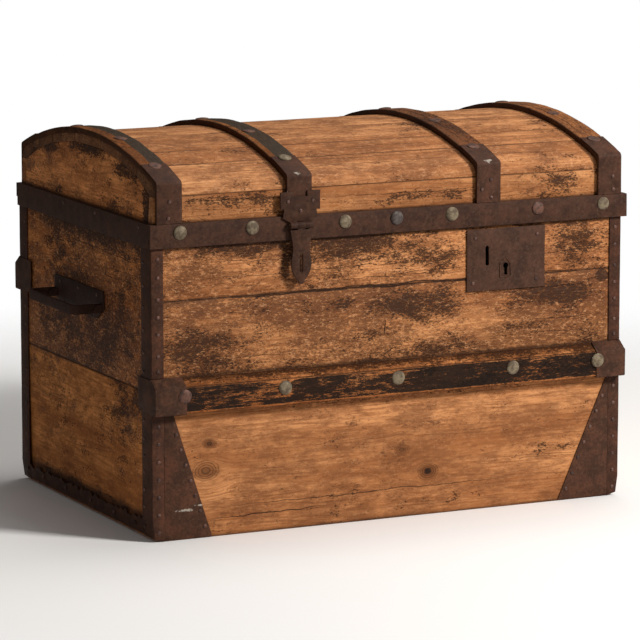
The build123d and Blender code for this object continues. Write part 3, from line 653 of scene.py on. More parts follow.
print("paint can be laid over any pine")

# %% [markdown]
# Each board gets its own piece of grain. The boards above the front batten are far dirtier than the one
# below it, which the batten sheltered from hands. Stains are written as a list of soft spots on a face, so
# that they are easy to move or to add to; a few of those spots are painted shadow, under the batten and
# round the hasp's tongue.

# %% Finishes of the front
FRONT_Y = -255.5
LOCK_DEPTH = 90
finishes = {}


def on_front(marks, y=FRONT_Y, through=60):
    """Soft spots on a front face: (x, z, half length, half height, strength)."""
    return [((x, y, z), (long, through, high), strength) for x, z, long, high, strength in marks]


finishes["front_board_upper"] = make_pine(
    "pine_front_upper", shift=(1.3, 0.2, 4.1), dirt=-0.08, varnish=0.10, flake_size=1.15,
    mottle=0.6, flecks=0.5, tint=(1.10, 1.08, 1.08, 1),
    stains_and_shade=on_front([(-60, 420, 150, 32, 0.30), (60, 395, 110, 40, 0.22), (-250, 425, 110, 16, 0.22),
                     # The spots at x -148 and -176 are painted shadow, with a little dirt: the dark slot
                     # behind the hasp's tongue, and the shadow the tongue casts to its left.
                     (330, 400, 110, 45, 0.16), (-148, 394, 10, 22, 0.6), (-176, 400, 16, 40, 0.2)]),
    cracks=[("x", -340, 160, 384, 0.01, 0.5), ("x", -340, -60, 408, -0.01, 0.4),
            ("x", 10, 135, 372, 0.02, 0.5), ("x", -120, 140, 368, 0.0, 0.4),
            ("x", 248, 372, 386, 0.02, 0.6), ("x", -345, 372, 356.4, 0.0, 1.0)],
    # The dark edge at z 434 is painted shadow under the lid's band. The one at z 355 is the joint.
    edges=[(2, 355, 4), (2, 434, 7)],
    # The two black spots behind the lock plate's openings, one of them the keyhole, are painted shade.
    hole_shade=on_front([(159.7, 388, 9, 24, 1.0), (191.3, 369, 11, 20, 1.0)], through=LOCK_DEPTH))
finishes["front_board_middle"] = make_pine(
    "pine_front_middle", shift=(5.1, 1.2, 2.7), dirt=-0.10, varnish=0.19, mottle=0.7, flecks=0.5,
    stains_and_shade=on_front([(-310, 285, 90, 45, 0.28), (40, 320, 120, 34, 0.22), (285, 322, 105, 36, 0.5),
                     (-110, 335, 130, 25, 0.2), (80, 255, 80, 22, 0.12), (-200, 262, 60, 26, -0.12),
                     (150, 290, 50, 50, -0.2), (359, 344, 14, 12, 2.0)]),
    cracks=[("x", 205, 372, 283, 0.02, 0.5), ("z", 279, 303, -12, 0.12, 1.3),
            ("x", -345, 372, 354.2, 0.0, 1.4), ("x", 60, 372, 331, 0.01, 0.5),
            ("x", -330, -150, 262, 0.02, 0.4), ("x", 150, 350, 264, 0.0, 0.4)],
    edges=[(2, 355, 3.5), (2, 242, 5)])
finishes["front_board_lower"] = make_pine(
    "pine_front_lower", shift=(8.4, 2.2, 0.9), dirt=-0.23, varnish=-0.08, flake_size=1.2, mottle=0.65,
    # The long strip at z 186 and the dark edge at z 191 are painted shadow under the front batten.
    stains_and_shade=on_front([(0, 186, 500, 9, 0.25), (120, 25, 300, 22, 0.14), (280, 90, 70, 30, 0.14)]),
    knots=[((-298, FRONT_Y, 140), 9, 0.7), ((-304, FRONT_Y, 100), 17, 0.3),
           ((62, FRONT_Y, 66), 14, 1.0), ((18, FRONT_Y, 103), 10, 0.4)],
    cracks=[("x", -290, 230, 43, 0.005, 0.7), ("x", -310, -100, 26, 0.02, 0.9)],
    edges=[(2, 191, 5), (2, 0, 6)])
print("finished front boards:", len(finishes))

# %% [markdown]
# The back and the floor saw little wear. The end walls were handled more, and their boards run from
# front to back, so their grain does too. Both ends share one list of stains, which reach through
# the whole chest in x.

# %% Finishes of the back, the ends and the floor
THROUGH_X = 5000


def on_ends(marks):
    """Soft spots on both end faces: (y, z, half depth, half height, strength)."""
    return [((0, y, z), (THROUGH_X, deep, high), strength) for y, z, deep, high, strength in marks]


back_boards = (("upper", -0.13, 0.0, 323), ("middle", -0.10, 0.06, 150), ("lower", -0.26, -0.08, 150))
for number, (height, dirt, varnish, joint) in enumerate(back_boards):
    finishes[f"back_board_{height}"] = make_pine(
        f"pine_back_board_{height}", shift=(11.3 + 3.7 * number, 0.4, 1.1 * number), dirt=dirt,
        varnish=varnish, flake_size=1.1, tint=(0.92, 0.92, 0.92, 1), edges=[(2, joint, 3.5)])
for number, hand in enumerate(("left", "right")):
    finishes[f"{hand}_end_board_upper"] = make_pine(
        f"pine_{hand}_end_upper", squeeze=ALONG_Y, shift=(21.0 + number * 5, 1, 3), dirt=-0.03,
        varnish=0.13, mottle=0.7, flecks=0.5, tint=(1.35, 1.18, 0.92, 1),
        stains_and_shade=on_ends([(-110, 300, 130, 120, 0.12), (0, 433, 400, 40, 0.2), (170, 330, 110, 90, -0.14)]),
        edges=[(2, 220, 4), (2, 440, 12)], cracks=[("y", -250, 90, 404, 0.02, 0.7)])
    finishes[f"{hand}_end_board_lower"] = make_pine(
        f"pine_{hand}_end_lower", squeeze=ALONG_Y, shift=(24.0 + number * 5, 4, 1), dirt=-0.22,
        tint=(1.3, 1.18, 0.88, 1), mottle=0.7,
        stains_and_shade=on_ends([(-190, 195, 190, 95, 0.34), (0, 26, 400, 26, 0.26), (60, 232, 240, 26, 0.2)]),
        edges=[(2, 220, 4), (2, 30, 16)])
finishes["floor_board_front"] = make_pine("pine_floor_front", shift=(31, 2, 2), dirt=-0.25)
finishes["floor_board_rear"] = make_pine("pine_floor_rear", shift=(34, 4, 1), dirt=-0.22)
print("finished body boards:", len(finishes))

# %% [markdown]
# The dome is made of seven staves, which stayed paler than the walls. They share their cracks and
# the dark lines at their ends and joints, and differ in grain and dirt.

# %% Finishes of the lid
finishes["lid_front_board"] = make_pine(
    "pine_lid_front", shift=(41, 2, 5), dirt=-0.18, varnish=-0.08, flake_size=1.3,
    tint=(1.10, 1.13, 1.16, 1),
    stains_and_shade=on_front([(-250, 500, 120, 14, 0.16), (60, 488, 150, 16, 0.18), (280, 498, 60, 20, 0.26)],
                    y=-256),
    cracks=[("x", -340, -170, 500, -0.02, 0.6), ("x", -90, 150, 492, 0.0, 0.6)],
    edges=[(2, 469, 4), (2, 509, 2.5)])
finishes["lid_back_board"] = make_pine(
    "pine_lid_back", shift=(43, 2, 7), dirt=-0.2, varnish=-0.03, edges=[(2, 469, 4), (2, 509, 2.5)])
stave_cracks = [
    ("flat", -330, 130, -224, 0.01, 0.5), ("flat", 190, 340, -219, -0.02, 0.6),
    ("flat", -130, 130, -201, 0.0, 0.5), ("flat", -110, 140, -163, 0.01, 0.6),
    ("flat", 195, 345, -172, 0.02, 0.4), ("flat", -340, -190, -96, 0.02, 0.4),
    ("flat", -120, 90, -84, -0.01, 0.5), ("flat", -340, 340, 12, 0.0, 0.4),
    ("flat", -200, 300, 88, 0.0, 0.5)]
stave_edges = [(0, -385, 9), (0, 389, 9), (1, -190, 2.5), (1, -137, 2.5)]
stave_edges += [(1, y, 2) for y in (-50, 50, 137, 190)]
for number, dirt in enumerate((-0.16, -0.17, -0.2, -0.25, -0.2, -0.18, -0.16), start=1):
    finishes[f"lid_stave_{number}"] = make_pine(
        f"pine_stave_{number}", squeeze=ALONG_X_FLAT, shift=(50 + 2.9 * number, 1.7 * number, 0.3),
        dirt=dirt, varnish=-0.12, flake_size=1.2, tint=(1.14, 1.20, 1.30, 1), mottle=0.8, flecks=0.3,
        cracks=stave_cracks, edges=stave_edges)
for number, hand in enumerate(("left", "right")):
    finishes[f"lid_end_board_{hand}"] = make_pine(
        f"pine_lid_end_{hand}", squeeze=ALONG_Y, shift=(71 + number * 4, 3, 2), dirt=-0.12,
        varnish=0.02, tint=(1.6, 1.43, 1.2, 1), flake_size=0.9, mottle=0.7, edges=[(2, 469, 6)],
        stains_and_shade=on_ends([(-236, 500, 28, 90, 0.5), (0, 556, 130, 22, 0.36), (-150, 538, 80, 24, 0.32),
                        (150, 538, 80, 24, 0.32), (-120, 478, 120, 24, 0.22), (90, 478, 120, 12, 0.2)]))
print("finished boards in all:", len(finishes))

# %% [markdown]
# The four slats aged apart: dull paint is left on the first two, the third is dark brown with a
# long split, and the fourth is barer and striped. Each has two splits, given by how far they lie
# from the slat's left edge and how wide they are.

# %% Finishes of the slats
SLAT_WIDTH = 40
SLAT_SQUEEZE = (42, 2.4, 10)
SLAT_PAINT = (0.038, 0.029, 0.021, 1)
SLAT_SCUFF = (0.085, 0.062, 0.044, 1)
PAINTED_WOOD = (0.66, 0.6, 0.52, 1)
slats = (
    (-383, -0.13, 0.12, PAINTED_WOOD, (24, 0.4), (30, 0.3)),
    (-175, -0.13, 0.12, PAINTED_WOOD, (20, 0.4), (27, 0.4)),
    (139, -0.07, 0.22, (0.62, 0.54, 0.47, 1), (15, 1.1), (29, 0.5)),
    (347, -0.13, 0.14, (0.74, 0.68, 0.60, 1), (13, 0.9), (25, 0.9)),
)
for number, (left, dirt, varnish, tint, split_a, split_b) in enumerate(slats, start=1):
    finishes[f"lid_slat_{number}"] = make_pine(
        f"wood_slat_{number}", squeeze=SLAT_SQUEEZE, shift=(80 + number * 3.3, 0.6, 0.2),
        flake_size=1.2, dirt=dirt, varnish=varnish, tint=tint,
        cracks=[("over", -235, 190, left + split_a[0], 0.01, split_a[1]),
                ("over", -170, 235, left + split_b[0], -0.01, split_b[1])],
        # Painted shade: the dark line along each slat's left edge reaches 4 mm against 2 mm on the right.
        # It darkens the side turned from the light, over some dirt at the joint.
        edges=[(0, left, 4), (0, left + SLAT_WIDTH, 2)])
for number, bare_width in ((1, 17), (2, 9)):
    bare_edge = slats[number - 1][0] + bare_width
    paint_over(
        finishes[f"lid_slat_{number}"], [(0, bare_edge, 5, -1)], SLAT_PAINT, SLAT_SCUFF,
        coverage=0.62, squeeze=(60, 8, 20), shift=(number, 0, 0))
print("slat at", [slat[0] for slat in slats])

# %% [markdown]
# The battens were black. Their chamfered edges and much of their faces are rubbed back to the wood,
# so the paint stays only in a ragged middle strip.

# %% Finishes of the battens
BATTEN_BLACK = (0.0105, 0.0078, 0.0065, 1)
BATTEN_SCUFF = (0.028, 0.018, 0.013, 1)
for where, outward, low, shift in (("front", -1, 191, 0), ("back", 1, 302, 5)):
    bare_batten = make_pine(
        f"wood_{where}_batten", shift=(90 + shift, 1, 2), dirt=-0.16, varnish=0.1,
        tint=(1.0, 0.90, 0.80, 1), stains_and_shade=[((0, outward * 270, low + 50), (3000, 60, 15), 0.26)],
        edges=[(2, low + 50, 5), (2, low + 39, 1.6)])
    finishes[f"{where}_batten"] = paint_over(
        bare_batten, [(2, low + 39.0, 2.0, 1), (2, low + 1.8, 1.6, -1)], BATTEN_BLACK, BATTEN_SCUFF,
        coverage=0.215, squeeze=(14, 110, 110), shift=(shift, 0, 0))
print("finished wooden pieces:", len(finishes))

# %% [markdown]
# Each family of irons gets its own tint: the hasp is darker and the lock plate greyer than the
# bands. A table gives the finish by how a piece's name starts, so that a new iron needs one line.

# %% Finishes of the irons
iron = make_iron("iron_plain")
iron_lid_irons = make_iron(
    "iron_slat_caps", shift=(3, 1, 2), rust=-0.02, tint=(1.05, 1.0, 0.98, 1),
    # The two spots on the cap folds at x -157 and 160 are painted highlights, where the light glints on the
    # folds, laid over some wear.
    bright_spots=[((-157, -256, 530), (20, 14, 9), 0.8), ((160, -256, 530), (20, 14, 9), 0.95),
                  ((-175, -262, 500), (5, 12, 30), 0.7)])
iron_feet = make_iron(
    "iron_feet", shift=(5, 2, 1), rust=0.02, tint=(1.0, 0.93, 0.86, 1),
    bright_spots=[((-340, -258, 44), (40, 30, 7), 0.75), ((-316, -258, 50), (22, 30, 4), 0.7)])
iron_hasp = make_iron("iron_hasp", shift=(6, 3, 8), tint=(0.84, 0.82, 0.80, 1))
iron_lock = make_iron("iron_lock_plate", shift=(7, 4, 2), rust=-0.05, tint=(1.05, 1.06, 1.08, 1))
iron_angle = make_iron("iron_angles", shift=(1, 4, 6), rust=0.02, tint=(0.95, 0.85, 0.80, 1))
iron_band = make_iron("iron_band", shift=(2, 7, 3), rust=-0.03, tint=(0.93, 0.90, 0.90, 1))
iron_handle = make_iron("iron_handles", shift=(9, 1, 1), rust=-0.05, tint=(0.62, 0.6, 0.62, 1))
iron_caps = make_iron("iron_batten_caps", shift=(4, 8, 1), rust=0.04, tint=(1.0, 0.98, 0.96, 1))
iron_by_start = {
    "corner_angle": iron_angle, "corner_feet": iron_feet, "lock": iron_lock, "lid_band": iron_band,
    "handle": iron_handle, "batten_caps": iron_caps, "slat_caps": iron_lid_irons, "hasp": iron_hasp,
    "hinge": iron_band, "base_strap": iron_angle,
}


def finish_for(name):
    """The finish of a CAD piece, by its name."""
    if name in finishes:
        return finishes[name]
    for start, finish in iron_by_start.items():
        if name.startswith(start):
            return finish
    return iron


print("families of irons:", len(iron_by_start))

# %% [markdown]
# A CAD solid has knife-sharp edges and perfectly flat faces. A worn copy starts from its welded
# triangles, which are joined back into whole faces, and is then cut into short stretches, so that
# there are points to move.

# %% Weld and slice
SAME_POINT = 2e-6
FLAT_ANGLE = math.radians(1.0)


def weld(source):
    """The CAD piece as a welded mesh with whole flat faces."""
    bm = bmesh.new()
    bm.from_mesh(source.data)
    bmesh.ops.remove_doubles(bm, verts=bm.verts, dist=SAME_POINT)
    bmesh.ops.dissolve_limit(bm, angle_limit=FLAT_ANGLE, verts=bm.verts, edges=bm.edges)
    return bm


def slice_along(bm, axis_number, step):
    """Cut the mesh across one axis at even steps."""
    low = min(v.co[axis_number] for v in bm.verts)
    high = max(v.co[axis_number] for v in bm.verts)
    normal = [0, 0, 0]
    normal[axis_number] = 1
    cuts = int((high - low) / step)
    for cut in range(1, cuts + 1):
        place = [0, 0, 0]
        place[axis_number] = low + (high - low) * cut / (cuts + 1)
        everything = bm.verts[:] + bm.edges[:] + bm.faces[:]
        bmesh.ops.bisect_plane(bm, geom=everything, plane_co=place, plane_no=normal, dist=1e-6)


print("points closer than", SAME_POINT / MM, "mm are welded")

# %% [markdown]
# Old boards and sheet iron are never quite straight. A smooth noise moves the points by a fraction
# of a millimetre, the low corners of the body are rounded by years of being dragged, and the strap
# along the bottom has rusted to a ragged edge.

# %% Uneven surfaces
CORNER_X = 390 * MM
LOW_CORNER = 14 * MM
TORN_STRIP = 3 * MM
TEAR_SIZE = 9 * MM
NOISE_SEED = 1
# Without a seed, noise_vector starts from the clock, and every run would differ.
noise.seed_set(NOISE_SEED)


def wobble(bm, amount, size, seed):
    """Move every point by a smooth noise, but never below the floor."""
    offset = Vector((seed * 3.1, seed * 1.7, seed * 2.3))
    for v in bm.verts:
        v.co += noise.noise_vector(v.co / size + offset) * amount
        v.co.z = max(v.co.z, 0)


def round_low_corners(bm):
    """Turn a square zone at each lower corner into a quarter disc."""
    centre_x = CORNER_X - LOW_CORNER
    for v in bm.verts:
        out = abs(v.co.x) - centre_x
        down = LOW_CORNER - v.co.z
        if out > 0 and down > 0:
            share = max(out, down) / math.hypot(out, down)
            v.co.x = math.copysign(centre_x + out * share, v.co.x)
            v.co.z = LOW_CORNER - down * share


def tear_top_edge(bm, depth, seed):
    """Make the upper edge of a strap ragged."""
    top = max(v.co.z for v in bm.verts)
    for v in bm.verts:
        if v.co.z > top - TORN_STRIP:
            v.co.z += depth * (noise.noise(v.co / TEAR_SIZE + Vector((seed, 0, 0))) - 0.3)


print("low corners are rounded by", LOW_CORNER / MM, "mm")

# %% [markdown]
# Each copy gets a real bevel, so that the joints between boards catch light and shade as gaps do.
# The bevel comes before the slices, because it needs the long clean edges. The copy then takes the CAD
# piece's body, a name and finish made from its name, and the CAD piece is hidden.

# %% Worn copy of a CAD piece
SHARP_EDGE = math.radians(35)
SHARP_SHADING = math.radians(38)


def smooth_faces(mesh):
    """Shade every face smooth."""
    for polygon in mesh.polygons:
        polygon.use_smooth = True


def worn_copy(name, bevel, amount, steps, size, seed, torn=0.0):
    """A softened, slightly uneven piece that stands for a CAD piece."""
    bm = weld(nodes[name])
    sharp = [e for e in bm.edges if len(e.link_faces) == 2 and e.calc_face_angle(0) > SHARP_EDGE]
    bmesh.ops.bevel(
        bm, geom=sharp, offset=bevel, offset_type="OFFSET", segments=2, profile=0.6, affect="EDGES",
        clamp_overlap=True)
    for axis_number, step in steps:
        slice_along(bm, axis_number, step)
    wobble(bm, amount, size, seed)
    if torn:
        tear_top_edge(bm, torn, seed)
    if nodes[name]["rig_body"] == "chest_body":
        round_low_corners(bm)
    bmesh.ops.recalc_face_normals(bm, faces=bm.faces)
    mesh = bpy.data.meshes.new("worn_" + name)
    bm.to_mesh(mesh)
    bm.free()
    smooth_faces(mesh)
    mesh.set_sharp_from_angle(angle=SHARP_SHADING)
    mesh.materials.append(finish_for(name))
    piece = add_object("worn_" + name, mesh)
    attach(piece, nodes[name]["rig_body"])
    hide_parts(name)


print("edges sharper than", round(math.degrees(SHARP_EDGE)), "degrees are bevelled")

# %% [markdown]
# Wood wears more than iron, and thin iron can't be bevelled much. The handles and the hasp keep
# almost their exact surface, because they fold against other irons. Pins, the lock's works and the
# CAD nails keep their own mesh and only get a finish.

# %% Wear every piece
LONG_STEP = 0.03
FINE_STEP = 0.012
IRON_STEP = 0.008
TEAR_STEP = 0.004
EXACT_PIECES = ("lock_case", "lock_bolt", "hinge_pins", "hasp_pin")
for seed, name in enumerate(sorted(nodes)):
    if "nails" in name or name.startswith(EXACT_PIECES):
        nodes[name].data.materials.clear()
        nodes[name].data.materials.append(finish_for(name))
    elif name.startswith("lid_slat"):
        worn_copy(name, 1.6 * MM, 0.7 * MM, [(1, FINE_STEP)], 0.035, seed)
    elif "board" in name or "stave" in name:
        axis_number = 1 if "end_board" in name else 0
        worn_copy(name, 1.1 * MM, 0.45 * MM, [(axis_number, LONG_STEP)], 0.08, seed)
    elif "batten" in name and "caps" not in name:
        worn_copy(name, 1.8 * MM, 0.9 * MM, [(0, FINE_STEP)], 0.03, seed)
    elif name.startswith("base_strap"):
        worn_copy(name, 0.4 * MM, 0.2 * MM, [(1, TEAR_STEP)], 0.03, seed, torn=9 * MM)
    elif name.startswith("handle"):
        worn_copy(name, 0.3 * MM, 0.0, [(2, IRON_STEP)], 0.02, seed)
    elif name.startswith("hasp"):
        worn_copy(name, 0.3 * MM, 0.08 * MM, [(2, IRON_STEP)], 0.02, seed)
    else:
        worn_copy(name, 0.5 * MM, 0.35 * MM, [(axis, LONG_STEP) for axis in range(3)], 0.03, seed)

# %% [markdown]
# The nails are domed heads, large on the straps and small on the irons. Such a round shape is best
# turned from a profile, like a bowl on a lathe: rings of points, then faces between them.

# %% Nail head shapes
def lathe(name, profile, sides):
    """A closed head turned from a profile of (radius, height) in mm, from the rim up to the crown."""
    turns = [math.tau * k / sides for k in range(sides)]
    points = [(r * MM * math.cos(a), r * MM * math.sin(a), z * MM) for r, z in profile[:-1] for a in turns]
    crown, foot = len(points), len(points) + 1
    points += [(0, 0, profile[-1][1] * MM), (0, 0, profile[0][1] * MM)]
    top = (len(profile) - 2) * sides
    faces = []
    for ring in range(0, top, sides):
        for k in range(sides):
            a, b = ring + k, ring + (k + 1) % sides
            faces.append((a, b, b + sides, a + sides))
    faces += [(top + k, top + (k + 1) % sides, crown) for k in range(sides)]
    faces += [((k + 1) % sides, k, foot) for k in range(sides)]
    mesh = bpy.data.meshes.new(name)
    mesh.from_pydata(points, [], faces)
    smooth_faces(mesh)
    print(name, len(faces), "faces")
    return bpy.data.objects.new(name, mesh)


LARGE_PROFILE = [(10.7, -1.5), (10.8, 0.7), (10.2, 1.5), (8.4, 2.5), (5.8, 3.2), (2.9, 3.6), (0, 3.75)]
FLAT_PROFILE = [(10.2, -2.0), (10.3, 0.5), (9.6, 1.0), (6.5, 1.7), (3.0, 2.1), (0, 2.2)]
SMALL_PROFILE = [(3.0, -0.8), (3.1, 0.4), (2.6, 1.1), (1.5, 1.6), (0, 1.8)]
large_head = lathe("large_head", LARGE_PROFILE, 28)
flat_head = lathe("flat_head", FLAT_PROFILE, 28)
small_head = lathe("small_head", SMALL_PROFILE, 12)

# %% [markdown]
# About 230 heads hold the irons, the slats and the battens. A small Geometry Nodes tree sets a
# head on every point of a scatter mesh, turned to the point's outward direction, with a seeded
# random size and tilt, so that no two look machine-made.

# %% Nail tree
LEAN = 0.07
SPIN = 3.1
nail_tree = bpy.data.node_groups.new("nail_heads", "GeometryNodeTree")
nail_tree.interface.new_socket("Geometry", in_out="INPUT", socket_type="NodeSocketGeometry")
nail_socket = {}
for label, kind in (("Head", "Object"), ("Finish", "Material"), ("Size spread", "Float"), ("Seed", "Int")):
    made = nail_tree.interface.new_socket(label, in_out="INPUT", socket_type="NodeSocket" + kind)
    nail_socket[label] = made.identifier
nail_tree.interface.new_socket("Geometry", in_out="OUTPUT", socket_type="NodeSocketGeometry")
given = nail_tree.nodes.new("NodeGroupInput").outputs
result = nail_tree.nodes.new("NodeGroupOutput").inputs
outward = add_node(
    nail_tree, "GeometryNodeInputNamedAttribute", {"Name": "outward"}, data_type="FLOAT_VECTOR")
turn = add_node(
    nail_tree, "FunctionNodeAlignRotationToVector", {"Vector": outward.outputs["Attribute"]}, axis="Z")
head = add_node(nail_tree, "GeometryNodeObjectInfo", {"Object": given["Head"]})
smallest = minus(nail_tree, 1.0, given["Size spread"])
spread = add_node(nail_tree, "FunctionNodeRandomValue", {
    2: smallest, 3: 1.0, "Seed": given["Seed"]}, data_type="FLOAT")
instances = add_node(nail_tree, "GeometryNodeInstanceOnPoints", {
    "Points": given["Geometry"], "Instance": head.outputs["Geometry"], "Rotation": turn.outputs[0],
    "Scale": spread.outputs[1]})
tilt = add_node(nail_tree, "FunctionNodeRandomValue", {
    0: (-LEAN, -LEAN, -SPIN), 1: (LEAN, LEAN, SPIN), "Seed": given["Seed"]}, data_type="FLOAT_VECTOR")
turned = add_node(nail_tree, "GeometryNodeRotateInstances", {
    "Instances": instances.outputs[0], "Rotation": tilt.outputs[0]})
real = add_node(nail_tree, "GeometryNodeRealizeInstances", {"Geometry": turned.outputs[0]})
dressed = add_node(nail_tree, "GeometryNodeSetMaterial", {
    "Geometry": real.outputs[0], "Material": given["Finish"]})
nail_tree.links.new(dressed.outputs[0], result["Geometry"])
print(nail_tree.name, len(nail_tree.nodes), "nodes")

# %% [markdown]
# The tree runs on a mesh of bare points, one for each nail. Its result is made a plain mesh for each
# finish and body, and the scatter is thrown away, so that nothing live is left in the file.

# %% Drive the nails
SIZE_SPREAD = 0.08


def drive_nails(name, places, head_shape, finish, body, seed, stands_for=()):
    """Set a head on every (x, y, z, outward) place in mm, and turn the result into one plain mesh."""
    scatter_mesh = bpy.data.meshes.new(name + "_places")
    scatter_mesh.from_pydata([in_metres(place[:3]) for place in places], [], [])
    attribute = scatter_mesh.attributes.new("outward", "FLOAT_VECTOR", "POINT")
    for item, place in zip(attribute.data, places):
        item.vector = place[3]
    scatter = add_object(name + "_places", scatter_mesh)
    modifier = scatter.modifiers.new("nails", "NODES")
    modifier.node_group = nail_tree
    modifier[nail_socket["Head"]] = head_shape
    modifier[nail_socket["Finish"]] = finish
    modifier[nail_socket["Size spread"]] = SIZE_SPREAD
    modifier[nail_socket["Seed"]] = seed
    evaluated = scatter.evaluated_get(bpy.context.evaluated_depsgraph_get())
    mesh = bpy.data.meshes.new_from_object(evaluated)
    bpy.data.objects.remove(scatter)
    piece = add_object(name, mesh)
    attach(piece, body)
    if stands_for:
        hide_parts(*stands_for)
    print(name, len(places), "nails,", len(mesh.polygons), "faces")


print("the smallest head is", round(100 - 100 * SIZE_SPREAD), "percent of full size")

# %% [markdown]
# Large nails run along both battens. The first one at the front was replaced with a rusty one. The
# end nails go through the iron caps, so they stand a little prouder than the rest.

# %% Large nails of the body
FRONT = (0, -1, 0)
BACK = (0, 1, 0)
BATTEN_FACE = 272.5
CAP_COVER = 1.5
olive_body = [(x, -BATTEN_FACE, 217, FRONT) for x in (-183, 3, 197)]
olive_body.append((343, -BATTEN_FACE - CAP_COVER, 217, FRONT))
for x in (-345, -183, 3, 197, 343):
    cover = CAP_COVER if abs(x) > 338 else 0
    olive_body.append((x, BATTEN_FACE + cover, 328, BACK))
rust_body = [(-345, -BATTEN_FACE - CAP_COVER, 217, FRONT)]
drive_nails("nails_batten", olive_body, large_head, nail_olive, "chest_body", 3, ["large_nails_body"])
drive_nails("nails_batten_rusty", rust_body, large_head, nail_rust, "chest_body", 4)

# %% [markdown]
# Small nails follow the body's irons: rows up the corner angles, along the slanted edge of each
# foot, along the base strap, round the handle plates and in the corners of the lock plate.

# %% Small nails of the body
ANGLE_FACE = 257.5
END_FACE = 390
FOOT_HEIGHT = 188
HINGE_NAILS = ((-22, 14), (22, 14), (-22, 40), (22, 40))


def rise(low, high, count):
    """Even heights from low to high."""
    return [low + (high - low) * step / (count - 1) for step in range(count)]


iron_body = []
for side in (-1, 1):
    for z in (418, 391, 359, 333, 308, 276, 253):
        iron_body.append((side * 380, -ANGLE_FACE, z, FRONT))
        iron_body.append((side * 380, ANGLE_FACE, z + 104 if z + 104 < 425 else z - 60, BACK))
    for z in rise(14, 172, 7):
        for outward in (-1, 1):
            iron_body.append((side * 380, outward * ANGLE_FACE, z, (0, outward, 0)))
    foot_low, foot_high = (95, 34) if side < 0 else (105, 22)
    for z in rise(18, 158, 7):
        width = foot_low + (foot_high - foot_low) * z / FOOT_HEIGHT
        for outward in (-1, 1):
            iron_body.append((side * (END_FACE - width + 6), outward * ANGLE_FACE, z, (0, outward, 0)))
    for z in (411, 377, 345, 312, 278, 250, 178, 151, 125, 101, 75, 49, 20):
        iron_body.append((side * END_FACE, -228, z, (side, 0, 0)))
        if not 290 < z < 360:
            iron_body.append((side * END_FACE, 234, z, (side, 0, 0)))
    for y in (-190, -110, -20, 80, 170):
        iron_body.append((side * (END_FACE - 0.5), y, 18, (side, 0, 0)))
    for y, z in ((-60, -12), (-72, 18), (0, 19), (72, 18), (60, -12)):
        iron_body.append((side * (END_FACE + 0.5), 17 + y, 320 + z, (side, 0, 0)))
for x, z in ((139, 415.5), (244.7, 415.8), (135.3, 347.6), (243, 348.3)):
    iron_body.append((x, -258, z, FRONT))
for hinge_x in (-250, 250):
    for x, z in HINGE_NAILS:
        iron_body.append((hinge_x + x, 258.5, 447 - z, BACK))
drive_nails("nails_small_body", iron_body, small_head, nail_iron, "chest_body", 5, ["small_nails_body"])

# %% [markdown]
# Large nails also run along the lid's band and over the slats, where all but one are rusty and
# flatter. On the dome a nail stands square to the arch, so its direction follows from how far back
# it sits.

# %% Large nails of the lid
BAND_FACE = 262.5
BAND_ROW = 456
DOME_CENTRE = -129
SLAT_RADIUS = 708.5
SLAT_NAILS = (-363, -155, 159, 367)
OLD_SLAT_NAIL = (-155, -212)


def arch_place(x, depth, radius):
    """A place on the domed lid, square to its surface."""
    angle = math.asin(depth / radius)
    outward = (0, math.sin(angle), math.cos(angle))
    return (x, radius * math.sin(angle), DOME_CENTRE + radius * math.cos(angle), outward)


olive_lid = [(x, -BAND_FACE, BAND_ROW, FRONT) for x in (-346, -231, -80, 97, 356)]
blue_lid = [(5, -BAND_FACE, BAND_ROW, FRONT)]
rust_lid = [(243, -BAND_FACE - 0.5, BAND_ROW, FRONT)]
for x in SLAT_NAILS:
    for depth in (-212, -85, 85, 212):
        cover = CAP_COVER if abs(depth) > 205 else 0
        group = olive_lid if (x, depth) == OLD_SLAT_NAIL else rust_lid
        group.append(arch_place(x, depth, SLAT_RADIUS + cover))
drive_nails("nails_lid", olive_lid, large_head, nail_olive, "lid", 6, ["large_nails_lid"])
drive_nails("nails_lid_bluish", blue_lid, large_head, nail_blue, "lid", 7)
drive_nails("nails_lid_rusty", rust_lid, flat_head, nail_rust, "lid", 8)

# %% [markdown]
# The lid's small nails sit on the ends of the band, in the slat caps, on the hasp's plate and in
# the hinges. Those in the caps are hand-driven, so each cap has its own crooked row.

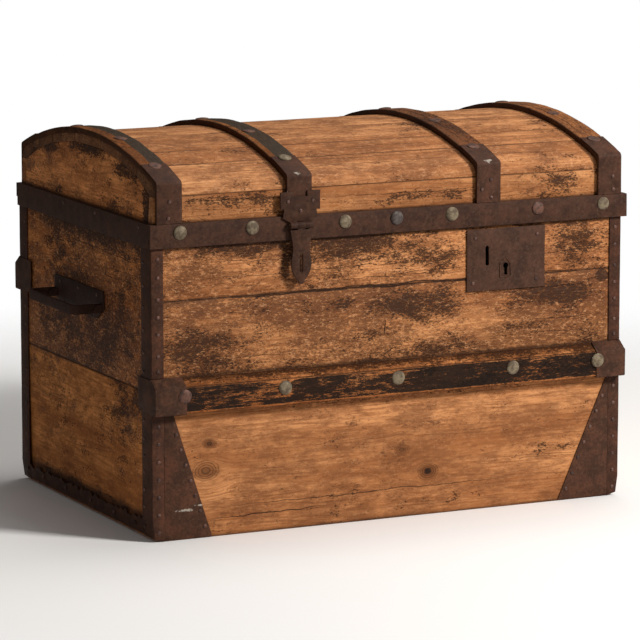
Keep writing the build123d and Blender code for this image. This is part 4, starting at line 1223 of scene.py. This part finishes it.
# %% Small nails of the lid
CAP_FACE = 263
CAP_NAILS = {
    -363: ((0, 502), (-2, 478)),
    -155: (),
    159: ((3, 504), (4, 477), (-12, 490)),
    367: ((5, 497), (6, 477)),
}
iron_lid = []
for side in (-1, 1):
    for y in (-221, -58, 65, 212):
        iron_lid.append((2 + side * 395.5, y, 462, (side, 0, 0)))
for x, heights in CAP_NAILS.items():
    for shift, z in heights:
        iron_lid.append((x + shift, -CAP_FACE, z, FRONT))
    for z in (478, 502):
        iron_lid.append((x, CAP_FACE, z, BACK))
for x, z in ((-20, 491), (20, 491), (0, 477)):
    iron_lid.append((-155 + x, -266, z, FRONT))
for hinge_x in (-250, 250):
    for x, z in HINGE_NAILS:
        iron_lid.append((hinge_x + x, BAND_FACE, 447 + z, BACK))
drive_nails("nails_small_lid", iron_lid, small_head, nail_iron, "lid", 9, ["small_nails_lid"])

# %% [markdown]
# A thin raised frame, shaped like a small house, guides the key to the keyhole. Four rings of the
# same outline, outer and inner, low and high, are joined by faces into a closed band.

# %% Frame round the keyhole
PLATE_FACE = -257.8
FRAME_WIDTH = 2.2
FRAME_THICKNESS = 1.3
HOUSE = [(180.8, 353.8), (200.2, 353.8), (200.2, 375.5), (191.8, 384.7), (180.8, 375.5)]


def raised_frame(name, outline, width, face_y, thickness):
    """A thin closed ring that follows an outline on the front, given as (x, z) in mm."""
    middle = Vector((sum(p[0] for p in outline), sum(p[1] for p in outline))) / len(outline)
    inner = []
    for point in outline:
        away = Vector(point) - middle
        inner.append(middle + away * (1 - width / away.length))
    raised_y = face_y - thickness
    layers = [(outline, face_y), (outline, raised_y), (inner, raised_y), (inner, face_y)]
    bm = bmesh.new()
    rings = [[bm.verts.new((p[0] * MM, y * MM, p[1] * MM)) for p in ring] for ring, y in layers]
    for near, far in zip(rings, rings[1:] + rings[:1]):
        for k in range(len(outline)):
            after = (k + 1) % len(outline)
            bm.faces.new((near[k], near[after], far[after], far[k]))
    bmesh.ops.recalc_face_normals(bm, faces=bm.faces)
    mesh = bpy.data.meshes.new(name)
    bm.to_mesh(mesh)
    bm.free()
    mesh.materials.append(iron_caps)
    piece = add_object(name, mesh)
    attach(piece, "chest_body")
    print(name, len(mesh.polygons), "faces")


raised_frame("keyhole_frame", HOUSE, FRAME_WIDTH, PLATE_FACE, FRAME_THICKNESS)
